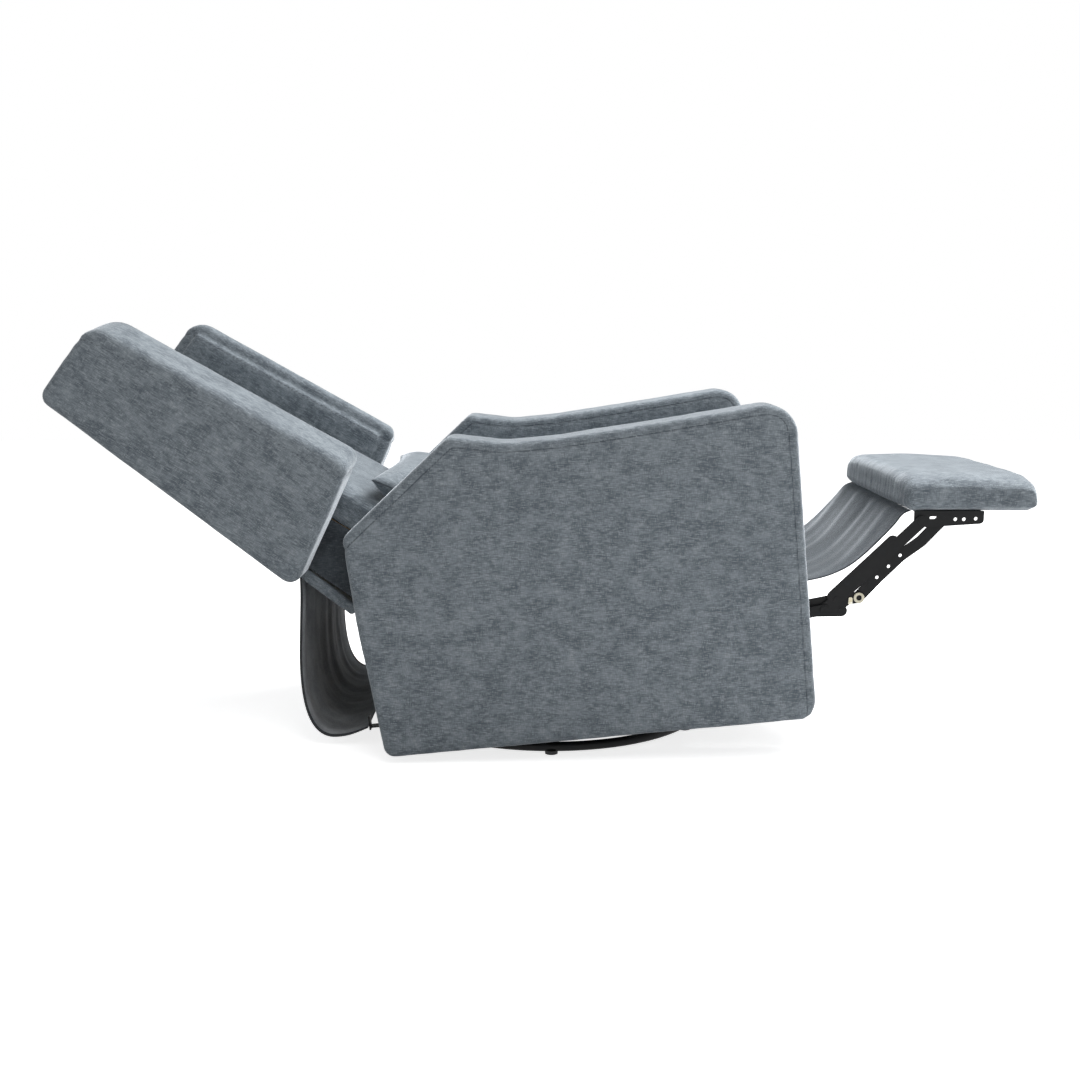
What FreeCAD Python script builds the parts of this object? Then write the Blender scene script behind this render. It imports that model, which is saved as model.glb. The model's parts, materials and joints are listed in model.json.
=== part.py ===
import FreeCAD, Part

import math
import os

# Swivel glider recliner, shown fully reclined with the footrest out and the glider
# resting on its rear stop.  Millimetres, +X forward, +Z up, origin on the floor at
# the swivel axis.  The sitter's left is +Y.  Left pieces are drawn and mirrored.

V = FreeCAD.Vector
ORIGIN = V(0, 0, 0)
AXIS_Y = V(0, 1, 0)
AXIS_Z = V(0, 0, 1)

# Overall widths, measured from the middle plane.
OUTER = 380.0
ARM_WIDTH = 110.0
ARM_INNER = OUTER - ARM_WIDTH
WING_INNER = ARM_INNER + 5.0
BACK_HALF = ARM_INNER - 8.0
SEAT_HALF = ARM_INNER - 7.0
FOOTREST_HALF = ARM_INNER - 8.0

# Fits and plates.
RUNNING = 0.05
SOFT_GAP = 0.4
PLATE = 3.0
PIN_R = 5.0
LINK_R = 11.0
EDGE_R = 16.0

# The carriage stands rear-down at its rear stop; arms are drawn level, then placed.
REST_TILT = 5.47
FORWARD_TILT = 1.0
ARM_FOOT = (-303.0, 11.0)

# Base ring and swivel.
RING_R = 306.0
RING_TUBE_R = 9.0
FOOT_H = 4.0
FOOT_R = 12.0
FOOT_COUNT = 6
HUB_R = 60.0
SPOKE_W = 30.0
SPOKE_Z = 9.0
SPOKE_H = 8.0
RACE_R = 95.0
RACE_H = 5.0
WASHER_H = 2.95
WASHER_IN = 40.0
BOLT_R = 8.0
BOLT_HEAD_R = 14.0

# Turntable and glider linkage: hangers above, carriage pivots below.
TABLE_HALF_X = 150.0
TABLE_H = 6.0
BRACKET_Y = 176.0
BRACKET_T = 5.0
HANGER_HALF = 160.0
HANGER_Z = 200.0
PIVOT_HALF = 122.0
PIVOT_DROP = 140.0
GLIDE_SWING = 19.0
CARRIAGE_RATIO = 1.345
FRONT_RATIO = 1.118
GLIDE_PIN_R = 6.0
GLIDE_LINK_R = 13.0
GLIDE_LINK_Y = BRACKET_Y + BRACKET_T + 1.0
GLIDE_LINK_T = 4.0
GLIDE_OPEN = 1.3
RAIL_Y = GLIDE_LINK_Y + GLIDE_LINK_T + 2.0
RAIL_T = 5.0
STOP_R = 9.0

# Arms, in the level frame whose origin is the lower rear corner.
ARM_OUTLINE = [(0, 0), (776, 0), (789, 29), (789, 579), (530, 561), (371, 552),
               (275, 552), (177, 573), (-32, 410), (-24, 254)]
ARM_RADII = [20, 20, 20, 56, 300, 200, 150, 20, 22, 150]
ARM_BOARD = [(20, 2), (758, 2), (758, 400), (0, 400), (0, 250)]
BOARD_T = 18.0
REAR_RAIL = (20.0, 45.0, 18.0, 43.0)
CROSSBAR = (569.6, 594.6, 3.1, 28.1)

# Seat, in a frame raked up towards the front.
SEAT_AT = (352.0, 372.0)
SEAT_RAKE = 7.0
SEAT_RAIL_H = 50.0
SEAT_REAR = -526.0
SEAT_FRONT = 92.0
SEAT_TOP = 138.0
SEAT_CROWN = 3.0
SEAT_REAR_FALL = 38.0
SEAT_RAIL_Y = (ARM_INNER - 80.0, ARM_INNER - 56.0)
SPRING_WIRE_R = 2.0
SPRING_COUNT = 5
SPRING_BENDS = 14

# Footrest linkage pivots at rest.  The guide bars are copies shifted by the offsets.
PIVOT_A = (317.0, 401.0)
ELBOW = (420.0, 258.0)
KNEE = (537.0, 281.0)
GUIDE_SHIFT = (-24.0, -18.0)
BRACKET_SHIFT = (42.0, 4.0)
BRACKET_PIVOT = (690.0, 430.0)
KNEE_RIVET = (547.0, 260.0)
FOOTREST_SWING = 84.5
LAYER_STEP = 4.0
LAYER_PLATE = ARM_INNER - 12.0
LAYER_GUIDE = LAYER_PLATE - LAYER_STEP - 1.0
LAYER_UPPER = LAYER_GUIDE - LAYER_STEP
LAYER_LOWER = LAYER_UPPER - LAYER_STEP
LAYER_SECOND = LAYER_LOWER - LAYER_STEP
DRIVE_TUBE_R = 11.0

# Footrest.
PAD_X = (655.0, 899.0)
PAD_Z = (452.0, 508.0)
BOARD_X = (672.0, 880.0)
BOARD_Z = (450.0, 460.0)
BOARD_HALF = FOOTREST_HALF - 18.0

# Back, in a frame whose s runs up the back and t out of its front surface.
BACK_AT = (-190.0, 466.0)
BACK_SLOPE = 31.0
RECLINE_PIVOT = (-200.0, 282.0)
RECLINE_SWING = 28.0
BACK_TOP = 668.0
CUSHION_FRONT = -86.0
CUSHION_BELLY = (110.0, 13.0)
CUSHION_REAR = -138.0
BOARD_FRONT = CUSHION_REAR - 0.6
WING_OUTLINE = [(-899, 664), (-791, 812), (-347, 563), (-459, 324)]
WING_RADII = [20, 48, 22, 22]
PANEL_OUTER = [(46, -278), (163, -265), (205, -252), (445, -208), (698, -180),
               (704, -160), (694, CUSHION_REAR - 0.4)]
PANEL_INNER = [(672, CUSHION_REAR - 0.4), (672, -158), (445, -186), (205, -230),
               (163, -243), (46, -256)]
BACK_BOARD = [(25, -250), (160, -240), (205, -228), (445, -184), (668, -156),
              (668, BOARD_FRONT), (25, BOARD_FRONT)]
BACK_BOARD_Y = (BACK_HALF - 6.0 - BOARD_T, BACK_HALF - 6.0)

# Loose lumbar pillow.
PILLOW_AT = (-235.1, 463.8)
PILLOW_SLOPE = 24.0
PILLOW_SLIDE = 96.0
PILLOW_HALF_W = BACK_HALF - 12.0
PILLOW_HALF_H = 95.0
PILLOW_HALF_T = 48.0
PILLOW_CORNER = 15.0

# Cloth flaps: the line each one hangs along, upper edge first.
REAR_FLAP_PATH = [(-469, 302), (-470, 248), (-470, 140), (-453, 68), (-420, 31),
                  (-381, 29), (-348.8, 36)]
FOOT_FLAP_PATH = [(657, 449), (636, 418), (575, 352), (528, 326), (485, 314),
                  (425, 305), (351, 300)]
REAR_FLAP_HALF = BACK_HALF
FOOT_FLAP_HALF = LAYER_SECOND - 5.0
FLAP_T = 2.5

# A point is (x, z) in the side view unless it is a vector.


def turn(point, degrees):
    """Turns a side-view vector clockwise, as seen with +X to the right."""
    a = math.radians(degrees)
    x = point[0] * math.cos(a) + point[1] * math.sin(a)
    z = -point[0] * math.sin(a) + point[1] * math.cos(a)
    return (x, z)


def add(a, b):
    return (a[0] + b[0], a[1] + b[1])


def sub(a, b):
    return (a[0] - b[0], a[1] - b[1])


def length(a):
    return math.hypot(a[0], a[1])


def unit(a):
    size = length(a)
    return (a[0] / size, a[1] / size)


def from_level(point):
    """Level arm frame to the world at rest."""
    return add(turn(point, -REST_TILT), ARM_FOOT)


def to_level(point):
    return turn(sub(point, ARM_FOOT), REST_TILT)


def from_seat(point):
    return add(turn(point, -SEAT_RAKE), SEAT_AT)


def from_back(point):
    """Back frame (s up the back, t out of its front) to the world at rest."""
    up = (-math.cos(math.radians(BACK_SLOPE)), math.sin(math.radians(BACK_SLOPE)))
    out = (math.sin(math.radians(BACK_SLOPE)), math.cos(math.radians(BACK_SLOPE)))
    s, t = point
    return add(BACK_AT, (up[0] * s + out[0] * t, up[1] * s + out[1] * t))


def rounded_wire(points, radii, y):
    """Closed side-view outline at one y, each corner turned on its radius."""
    edges = []
    ends = []
    count = len(points)
    for i in range(count):
        corner = points[i]
        back = unit(sub(points[i - 1], corner))
        ahead = unit(sub(points[(i + 1) % count], corner))
        cosine = max(-1.0, min(1.0, back[0] * ahead[0] + back[1] * ahead[1]))
        half = math.acos(cosine) / 2
        middle = unit(add(back, ahead))
        reach = radii[i] / math.tan(half)
        start = add(corner, (back[0] * reach, back[1] * reach))
        stop = add(corner, (ahead[0] * reach, ahead[1] * reach))
        rise = radii[i] / math.sin(half) - radii[i]
        top = add(corner, (middle[0] * rise, middle[1] * rise))
        ends.append((start, top, stop))
    for i in range(count):
        start, top, stop = ends[i]
        following = ends[(i + 1) % count][0]
        a, b, c, d = [V(p[0], y, p[1]) for p in (start, top, stop, following)]
        edges.append(Part.Arc(a, b, c).toShape())
        edges.append(Part.LineSegment(c, d).toShape())
    return Part.Wire(edges)


def plain_wire(points, y):
    corners = [V(x, y, z) for x, z in points]
    return Part.makePolygon(corners + corners[:1])


def plate(points, y0, y1, radii=None):
    """Flat piece with a side-view outline, between two y values."""
    wire = rounded_wire(points, radii, y0) if radii else plain_wire(points, y0)
    return Part.Face(wire).extrude(V(0, y1 - y0, 0))


def padded_slab(points, radii, y0, y1, edge_r):
    """Upholstered slab whose two faces roll over on one edge radius."""
    solid = plate(points, y0, y1, radii)
    rims = [e for e in solid.Edges if abs(e.BoundBox.YMax - e.BoundBox.YMin) < 0.01]
    return solid.makeFillet(edge_r, rims)


def disc(point, r, y0, y1):
    return Part.makeCylinder(r, y1 - y0, V(point[0], y0, point[1]), AXIS_Y)


def bar(path, r, y0, y1):
    """Flat bar of constant width along a side-view path, with round ends."""
    parts = [disc(p, r, y0, y1) for p in path]
    for a, b in zip(path, path[1:]):
        along = unit(sub(b, a))
        side = (-along[1] * r, along[0] * r)
        corners = [add(a, side), add(b, side), sub(b, side), sub(a, side)]
        parts.append(plate(corners, y0, y1))
    return parts[0].multiFuse(parts[1:]).removeSplitter()


def fuse(*shapes):
    return shapes[0].multiFuse(list(shapes[1:])).removeSplitter()


def block(x, y, z):
    return Part.makeBox(x[1] - x[0], y[1] - y[0], z[1] - z[0], V(x[0], y[0], z[0]))


def mirrored(shape):
    return shape.mirror(ORIGIN, AXIS_Y)


def both(shape):
    """The left piece and its mirror image as two solids in one node."""
    return Part.makeCompound([shape, mirrored(shape)])


def level_box(u, y, w):
    """Box in the level arm frame, placed at rest."""
    corners = [(u[0], w[0]), (u[1], w[0]), (u[1], w[1]), (u[0], w[1])]
    return plate([from_level(p) for p in corners], y[0], y[1])


def seat_box(u, y, w):
    corners = [(u[0], w[0]), (u[1], w[0]), (u[1], w[1]), (u[0], w[1])]
    return plate([from_seat(p) for p in corners], y[0], y[1])


def solid_of(shape):
    return shape.Solids[0] if shape.ShapeType != "Solid" else shape


def loft(wires):
    return solid_of(Part.makeLoft(wires, True, True))


FRACTIONS = (-1, -0.97, -0.9, -0.75, -0.45, 0, 0.45, 0.75, 0.9, 0.97, 1)


def stations(half, draw, crown):
    """Cross-section places of a cushion: y, how far drawn in, how far fallen."""
    return [(half * f, draw * f ** 10, crown * f ** 2) for f in FRACTIONS]


# Glider geometry.


def circle_meet(a, b, r):
    """Lower of the two points at distance r from both a and b."""
    middle = ((a[0] + b[0]) / 2, (a[1] + b[1]) / 2)
    half = length(sub(b, a)) / 2
    reach = math.sqrt(r * r - half * half)
    along = unit(sub(b, a))
    first = add(middle, (along[1] * reach, -along[0] * reach))
    second = sub(middle, (along[1] * reach, -along[0] * reach))
    return first if first[1] < second[1] else second


def glide_pose(tilt):
    """Carriage pivots (rear, front) for a rear-down tilt of the carriage."""
    reach = math.hypot(HANGER_HALF - PIVOT_HALF, PIVOT_DROP)
    spread = turn((2 * PIVOT_HALF, 0), -tilt)
    rear = circle_meet((-HANGER_HALF, HANGER_Z), sub((HANGER_HALF, HANGER_Z), spread), reach)
    return rear, add(rear, spread)


def hang_angle(hanger, pivot):
    """Forward swing of a hanging link from the vertical, degrees."""
    return math.degrees(math.atan2(pivot[0] - hanger[0], hanger[1] - pivot[1]))


def exact_ratios():
    """Link swing between the two stops, and the ratios that are exact at both."""
    rear_0, front_0 = glide_pose(REST_TILT)
    rear_1, front_1 = glide_pose(-FORWARD_TILT)
    rear_hanger = (-HANGER_HALF, HANGER_Z)
    front_hanger = (HANGER_HALF, HANGER_Z)
    swing = hang_angle(rear_hanger, rear_1) - hang_angle(rear_hanger, rear_0)
    front = hang_angle(front_hanger, front_1) - hang_angle(front_hanger, front_0)
    tilt = REST_TILT + FORWARD_TILT
    return swing, (tilt + swing) / swing, front / swing


REAR_PIVOT, FRONT_PIVOT = glide_pose(REST_TILT)


def carriage_at(point, q):
    """Where a carriage point stands once the rear links have swung q degrees."""
    hanger = (-HANGER_HALF, HANGER_Z)
    rear = add(hanger, turn(sub(REAR_PIVOT, hanger), -q))
    return add(rear, turn(sub(point, REAR_PIVOT), q * (CARRIAGE_RATIO - 1)))


def glide_error(steps=24):
    """Largest distance between the front links' lower ends and the carriage's pin."""
    worst = 0.0
    hanger = (HANGER_HALF, HANGER_Z)
    for i in range(steps + 1):
        q = GLIDE_SWING * i / steps
        end = add(hanger, turn(sub(FRONT_PIVOT, hanger), -q * FRONT_RATIO))
        worst = max(worst, length(sub(end, carriage_at(FRONT_PIVOT, q))))
    return worst


# Base.


def base_ring():
    z = FOOT_H + RING_TUBE_R
    return Part.makeTorus(RING_R, RING_TUBE_R, V(0, 0, z), AXIS_Z)


def base_feet():
    feet = []
    for i in range(FOOT_COUNT):
        a = math.radians(30 + 360.0 / FOOT_COUNT * i)
        at = V(RING_R * math.cos(a), RING_R * math.sin(a), 0)
        foot = Part.makeCylinder(FOOT_R, FOOT_H + 3, at)
        feet.append(foot.cut(base_ring()))
    return Part.makeCompound(feet)


def base_spokes():
    z = (SPOKE_Z, SPOKE_Z + SPOKE_H)
    half = SPOKE_W / 2
    hub = Part.makeCylinder(HUB_R, SPOKE_H, V(0, 0, SPOKE_Z))
    along_x = block((-RING_R, RING_R), (-half, half), z)
    along_y = block((-half, half), (-RING_R, RING_R), z)
    bore = Part.makeCylinder(BOLT_R + RUNNING, SPOKE_H, V(0, 0, SPOKE_Z))
    return fuse(hub, along_x, along_y).cut(bore).cut(base_ring())


def ring_disc(r, hole, z, h):
    body = Part.makeCylinder(r, h, V(0, 0, z))
    return body.cut(Part.makeCylinder(hole, h, V(0, 0, z)))


LOWER_RACE_Z = SPOKE_Z + SPOKE_H
WASHER_Z = LOWER_RACE_Z + RACE_H
UPPER_RACE_Z = WASHER_Z + WASHER_H + RUNNING
TABLE_Z = UPPER_RACE_Z + RACE_H
TABLE_TOP = TABLE_Z + TABLE_H


def swivel_lower_race():
    return ring_disc(RACE_R, BOLT_R + RUNNING, LOWER_RACE_Z, RACE_H)


def swivel_washer():
    return ring_disc(RACE_R, WASHER_IN, WASHER_Z, WASHER_H)


def swivel_upper_race():
    return ring_disc(RACE_R, BOLT_R, UPPER_RACE_Z, RACE_H)


def swivel_bolt():
    nut_z = SPOKE_Z - 0.1 - 3.0
    nut = Part.makeCylinder(BOLT_HEAD_R, 3.0, V(0, 0, nut_z))
    shaft = Part.makeCylinder(BOLT_R, TABLE_TOP - nut_z, V(0, 0, nut_z))
    head = Part.makeCylinder(BOLT_HEAD_R, 7.0, V(0, 0, TABLE_TOP))
    return fuse(nut, shaft, head)


def turntable_plate():
    y = BRACKET_Y + BRACKET_T
    body = block((-TABLE_HALF_X, TABLE_HALF_X), (-y, y), (TABLE_Z, TABLE_TOP))
    return body.cut(Part.makeCylinder(BOLT_R, TABLE_H, V(0, 0, TABLE_Z)))


def glider_bracket():
    """Upright side plate with the two hanger studs and their heads."""
    top = HANGER_Z + 16
    reach = HANGER_HALF + 17
    outline = [(-140, TABLE_TOP), (140, TABLE_TOP), (reach, top), (-reach, top)]
    body = plate(outline, BRACKET_Y, BRACKET_Y + BRACKET_T, [6, 6, 20, 20])
    flange = block((-140, 140), (BRACKET_Y - 26, BRACKET_Y), (TABLE_TOP, TABLE_TOP + 4))
    parts = [body, flange]
    link_end = GLIDE_LINK_Y + GLIDE_LINK_T
    for x in (-HANGER_HALF, HANGER_HALF):
        parts.append(disc((x, HANGER_Z), GLIDE_PIN_R, BRACKET_Y + 1, link_end + 0.2))
        parts.append(disc((x, HANGER_Z), GLIDE_PIN_R + 4, link_end + 0.1, RAIL_Y - 0.5))
    return fuse(*parts)


def glider_cross_tube():
    y = BRACKET_Y
    outer = Part.makeCylinder(14, 2 * y, V(0, -y, 120), AXIS_Y)
    return outer.cut(Part.makeCylinder(11, 2 * y, V(0, -y, 120), AXIS_Y))


def glide_link(hanger, pivot, open_by):
    y0, y1 = GLIDE_LINK_Y, GLIDE_LINK_Y + GLIDE_LINK_T
    body = bar([hanger, pivot], GLIDE_LINK_R, y0, y1)
    body = body.cut(disc(hanger, GLIDE_PIN_R + RUNNING, y0, y1))
    return body.cut(disc(pivot, GLIDE_PIN_R + RUNNING + open_by, y0, y1))


def rear_glide_links():
    return both(glide_link((-HANGER_HALF, HANGER_Z), REAR_PIVOT, 0.0))


def front_glide_links():
    return both(glide_link((HANGER_HALF, HANGER_Z), FRONT_PIVOT, GLIDE_OPEN))


def glide_stops():
    """Rubber blocks on the brackets that the front links rest on at the rear stop."""
    hanger = (HANGER_HALF, HANGER_Z)
    along = unit(sub(FRONT_PIVOT, hanger))
    behind = (along[1], -along[0])
    if behind[0] > 0:
        behind = (-behind[0], -behind[1])
    away = GLIDE_LINK_R + STOP_R + 0.3
    at = add(hanger, (along[0] * 55 + behind[0] * away, along[1] * 55 + behind[1] * away))
    return both(disc(at, STOP_R, BRACKET_Y + BRACKET_T, GLIDE_LINK_Y + GLIDE_LINK_T))


# Carriage.


def carriage_rail():
    """Side rail with lobes and studs for the lower ends of the glider links."""
    w0, w1 = 18, 44
    end = CROSSBAR[0]
    outline = [(45, w0), (500, w0), (end, 4), (end, 28), (500, w1), (45, w1)]
    parts = [plate([from_level(p) for p in outline], RAIL_Y, RAIL_Y + RAIL_T)]
    for pivot in (REAR_PIVOT, FRONT_PIVOT):
        parts.append(disc(pivot, 18, RAIL_Y, RAIL_Y + RAIL_T))
        parts.append(disc(pivot, GLIDE_PIN_R, GLIDE_LINK_Y, RAIL_Y + 1))
        parts.append(disc(pivot, GLIDE_PIN_R + 3, GLIDE_LINK_Y + GLIDE_LINK_T + 0.2, RAIL_Y + 1))
    return fuse(*parts)


def front_crossbar():
    u0, u1, w0, w1 = CROSSBAR
    outer = level_box((u0, u1), (-ARM_INNER, ARM_INNER), (w0, w1))
    inner = level_box((u0 + 2, u1 - 2), (-ARM_INNER, ARM_INNER), (w0 + 2, w1 - 2))
    return outer.cut(inner)


def rear_rail():
    u0, u1, w0, w1 = REAR_RAIL
    return level_box((u0, u1), (-ARM_INNER, ARM_INNER), (w0, w1))


def flap_clips():
    """Small black hooks behind the rear rail that hold the flap's lower hem."""
    u1 = REAR_RAIL[0]
    parts = []
    for y in (30.0 - ARM_INNER, 0.0, ARM_INNER - 30.0):
        strap = level_box((u1 - 60, u1), (y - 9, y + 9), (24, 27))
        hook = level_box((u1 - 63, u1 - 60), (y - 9, y + 9), (20, 46))
        parts.append(fuse(strap, hook))
    return Part.makeCompound(parts)


def arm_frame():
    outline = [from_level(p) for p in ARM_BOARD]
    return plate(outline, ARM_INNER, ARM_INNER + BOARD_T)


def arm_cover():
    outline = [from_level(p) for p in ARM_OUTLINE]
    slab = padded_slab(outline, ARM_RADII, ARM_INNER, OUTER, EDGE_R)
    pocket = [(20, -30), (758, -30), (758, 400), (0, 400), (0, 250), (20, 2)]
    cut = plate([from_level(p) for p in pocket], ARM_INNER - 1, ARM_INNER + BOARD_T)
    return solid_of(slab.cut(cut))


def seat_side_rails():
    left = seat_box((SEAT_REAR + 16, -14), SEAT_RAIL_Y, (0, SEAT_RAIL_H))
    return both(left)


def seat_cross_rails():
    """Rear rail and middle rail, screwed to the boards inside the arms."""
    rear = seat_box((SEAT_REAR - 8, SEAT_REAR + 16), (-ARM_INNER, ARM_INNER), (0, SEAT_RAIL_H))
    middle = seat_box((-224, -200), (-ARM_INNER, ARM_INNER), (-24, 0))
    return Part.makeCompound([rear, middle])


def seat_front_rail():
    half = SEAT_RAIL_Y[1]
    outline = [(-14, 0), (72, 0), (72, SEAT_RAIL_H), (-14, SEAT_RAIL_H)]
    points = [from_seat(p) for p in outline]
    return plate(points, -half, half, [4, 22, 12, 4])


def flap_board():
    """Upright batten under the front rail that the footrest flap is tacked to."""
    half = SEAT_RAIL_Y[0]
    batten = block((338, 350), (-half, half), (286, SEAT_AT[1] + 4))
    return solid_of(batten.cut(seat_front_rail()))


def seat_spring(y):
    """Zigzag spring: straight runs joined by half turns, one unbroken wire."""
    start = SEAT_REAR + 16 + SPRING_WIRE_R + 0.3
    pitch = (-14 - SPRING_WIRE_R - 0.3 - start) / SPRING_BENDS
    half = 14.0
    edges = []
    z = SEAT_RAIL_H - 4
    r = pitch / 2
    x = start
    side = 1
    edges.append(Part.LineSegment(V(x, y, z), V(x, y + half, z)).toShape())
    for i in range(SPRING_BENDS):
        a = V(x, y + side * half, z)
        b = V(x + r, y + side * (half + r), z)
        c = V(x + pitch, y + side * half, z)
        edges.append(Part.Arc(a, b, c).toShape())
        x += pitch
        last = i == SPRING_BENDS - 1
        stop = y if last else y - side * half
        edges.append(Part.LineSegment(c, V(x, stop, z)).toShape())
        side = -side
    path = Part.Wire(edges)
    ring = Part.Wire(Part.makeCircle(SPRING_WIRE_R, V(start, y, z), AXIS_Y))
    tube = path.makePipeShell([ring], True, False)
    return solid_of(tube)


def seat_springs():
    springs = []
    for i in range(SPRING_COUNT):
        y = (i - (SPRING_COUNT - 1) / 2) * (SEAT_RAIL_Y[0] - 46.0) / 2
        tube = seat_spring(y)
        tube.rotate(ORIGIN, AXIS_Y, -SEAT_RAKE)
        tube.translate(V(SEAT_AT[0], 0, SEAT_AT[1]))
        springs.append(tube)
    return Part.makeCompound(springs)


def seat_cushion():
    """Crowned cushion, drawn in at its sides and rolled over at the front."""
    wires = []
    bottom = SEAT_RAIL_H + SOFT_GAP
    for y, draw, drop in stations(SEAT_HALF, 16, 7):
        top = SEAT_TOP - drop - draw
        mid = (SEAT_REAR + SEAT_FRONT) / 2
        lift = bottom + draw * 0.3
        points = [(SEAT_REAR + draw, lift), (SEAT_FRONT - draw, lift), (SEAT_FRONT - draw, top - 6),
                  (mid, top + SEAT_CROWN), (SEAT_REAR + draw, top - SEAT_REAR_FALL)]
        wires.append(rounded_wire([from_seat(p) for p in points], [8, 15, 24, 900, 11], y))
    return loft(wires)


def back_pivots():
    """Flanged studs on the arm boards that the back brackets turn on."""
    flange = disc(RECLINE_PIVOT, 26, ARM_INNER - 4, ARM_INNER)
    stud = disc(RECLINE_PIVOT, 8, BACK_BOARD_Y[0] - 6, ARM_INNER - 3)
    collar = disc(RECLINE_PIVOT, 14, BACK_BOARD_Y[0] + 0.3, ARM_INNER - 3)
    return both(fuse(flange, stud, collar))


# Footrest linkage.

GUIDE_A = add(PIVOT_A, GUIDE_SHIFT)
GUIDE_KNEE = add(KNEE, GUIDE_SHIFT)
SECOND_KNEE = add(KNEE, BRACKET_SHIFT)
SECOND_PIVOT = add(BRACKET_PIVOT, BRACKET_SHIFT)


def mechanism_plate():
    """Plate on bosses inside the arm, carrying the two fixed pivots."""
    outline = [(185, 288), (330, 372), (336, 404), (322, 412), (282, 401), (185, 336)]
    body = plate(outline, LAYER_PLATE, LAYER_PLATE + 4, [8, 10, 8, 8, 12, 8])
    parts = [body]
    for at in ((200, 312), (250, 350), (305, 385)):
        parts.append(disc(at, 10, LAYER_PLATE + 3, ARM_INNER))
        parts.append(disc(at, 6, LAYER_PLATE - 1.5, LAYER_PLATE + 1))
    parts.append(disc(PIVOT_A, PIN_R, LAYER_LOWER - 0.4, LAYER_PLATE + 1))
    parts.append(disc(PIVOT_A, 9, LAYER_LOWER + PLATE + 0.2, LAYER_PLATE + 1))
    parts.append(disc(GUIDE_A, PIN_R, LAYER_GUIDE - 0.4, LAYER_PLATE + 1))
    parts.append(disc(GUIDE_A, 9, LAYER_GUIDE + PLATE + 0.2, LAYER_PLATE + 1))
    return fuse(*parts)


def drilled(body, holes, y0, y1, r):
    for at in holes:
        body = body.cut(disc(at, r, y0, y1))
    return body


def lower_link():
    """Dog-leg driving link with the rounded knee plate at its end."""
    y0, y1 = LAYER_LOWER, LAYER_LOWER + PLATE
    arm = bar([PIVOT_A, ELBOW, KNEE, SECOND_KNEE], LINK_R, y0, y1)
    knee = bar([ELBOW, KNEE_RIVET], LINK_R, y0, y1)
    web = plate([KNEE, SECOND_KNEE, KNEE_RIVET], y0, y1)
    body = fuse(arm, knee, web)
    body = drilled(body, [PIVOT_A, KNEE, SECOND_KNEE], y0, y1, PIN_R + RUNNING)
    rivet = disc(KNEE_RIVET, 6, y1 - 1, y1 + 0.7)
    return fuse(body, rivet)


def guide_link():
    """Parallel link behind the driving link; it keeps the upper link level."""
    y0, y1 = LAYER_GUIDE, LAYER_GUIDE + PLATE
    path = [GUIDE_A, add(ELBOW, GUIDE_SHIFT), GUIDE_KNEE]
    body = bar(path, LINK_R - 1, y0, y1)
    return drilled(body, [GUIDE_A, GUIDE_KNEE], y0, y1, PIN_R + RUNNING)


def upper_link():
    """Wide upper link with the studs that join it to its three neighbours."""
    y0, y1 = LAYER_UPPER, LAYER_UPPER + PLATE
    along = unit(sub(BRACKET_PIVOT, KNEE))
    lift = (-along[1] * 9, along[0] * 9)
    start = add(KNEE, lift)
    near = add(add(KNEE, lift), (along[0] * 150, along[1] * 150))
    wide = bar([start, near], LINK_R + 1, y0, y1)
    arm = bar([GUIDE_KNEE, KNEE, BRACKET_PIVOT], LINK_R, y0, y1)
    body = fuse(wide, arm)
    inner = LAYER_LOWER
    parts = [body, disc(KNEE, PIN_R, inner - 0.4, y0 + 1), disc(BRACKET_PIVOT, PIN_R, inner - 0.4, y0 + 1)]
    parts.append(disc(GUIDE_KNEE, PIN_R, y1 - 1, LAYER_GUIDE + PLATE + 0.4))
    parts.append(disc(GUIDE_KNEE, PIN_R + 2.5, LAYER_GUIDE + PLATE + 0.2, LAYER_GUIDE + PLATE + 1.4))
    for at in (KNEE, BRACKET_PIVOT):
        parts.append(disc(at, PIN_R + 2, y1 - 1, y1 + 0.7))
    return fuse(*parts)


SECOND_BEND = [(613.0, 322.0), (655.0, 364.0), (693.0, 392.0)]


def second_link():
    """Lower bar of the upper pair, bent near the bracket, with three spare holes."""
    y0, y1 = LAYER_SECOND, LAYER_SECOND + PLATE
    body = bar([SECOND_KNEE] + SECOND_BEND + [SECOND_PIVOT], LINK_R, y0, y1)
    holes = [(613, 323), (634, 344), (655, 365)]
    body = drilled(body, holes, y0, y1, 3.2)
    outer = LAYER_LOWER + PLATE
    studs = [disc(at, PIN_R, y1 - 1, outer + 0.2) for at in (SECOND_KNEE, SECOND_PIVOT)]
    heads = [disc(at, PIN_R + 2, y0 - 1, y0 + 1) for at in (SECOND_KNEE, SECOND_PIVOT)]
    return fuse(body, *studs, *heads)


def drive_tube():
    y = LAYER_LOWER
    outer = Part.makeCylinder(DRIVE_TUBE_R, 2 * y, V(ELBOW[0], -y, ELBOW[1]), AXIS_Y)
    bore = Part.makeCylinder(DRIVE_TUBE_R - 1.5, 2 * y, V(ELBOW[0], -y, ELBOW[1]), AXIS_Y)
    return outer.cut(bore)


def knee_rollers():
    """Stop discs on the outer face of the knee plates, clear of the upper links."""
    outer = LAYER_LOWER + PLATE
    disc_at = SECOND_KNEE
    body = disc(disc_at, 10, outer, outer + 3.2)
    body = body.cut(disc(disc_at, PIN_R + 0.3, outer, outer + 3.2))
    return both(body)


def knee_tabs():
    """Bright formed tabs on the knee plates."""
    outer = LAYER_LOWER + PLATE
    outline = [(559, 272), (567, 272), (567, 286), (560, 286)]
    return both(plate(outline, outer, outer + 2.0, [2, 3, 3, 2]))


# Footrest.


def footrest_board():
    return block(BOARD_X, (-BOARD_HALF, BOARD_HALF), BOARD_Z)


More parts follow.
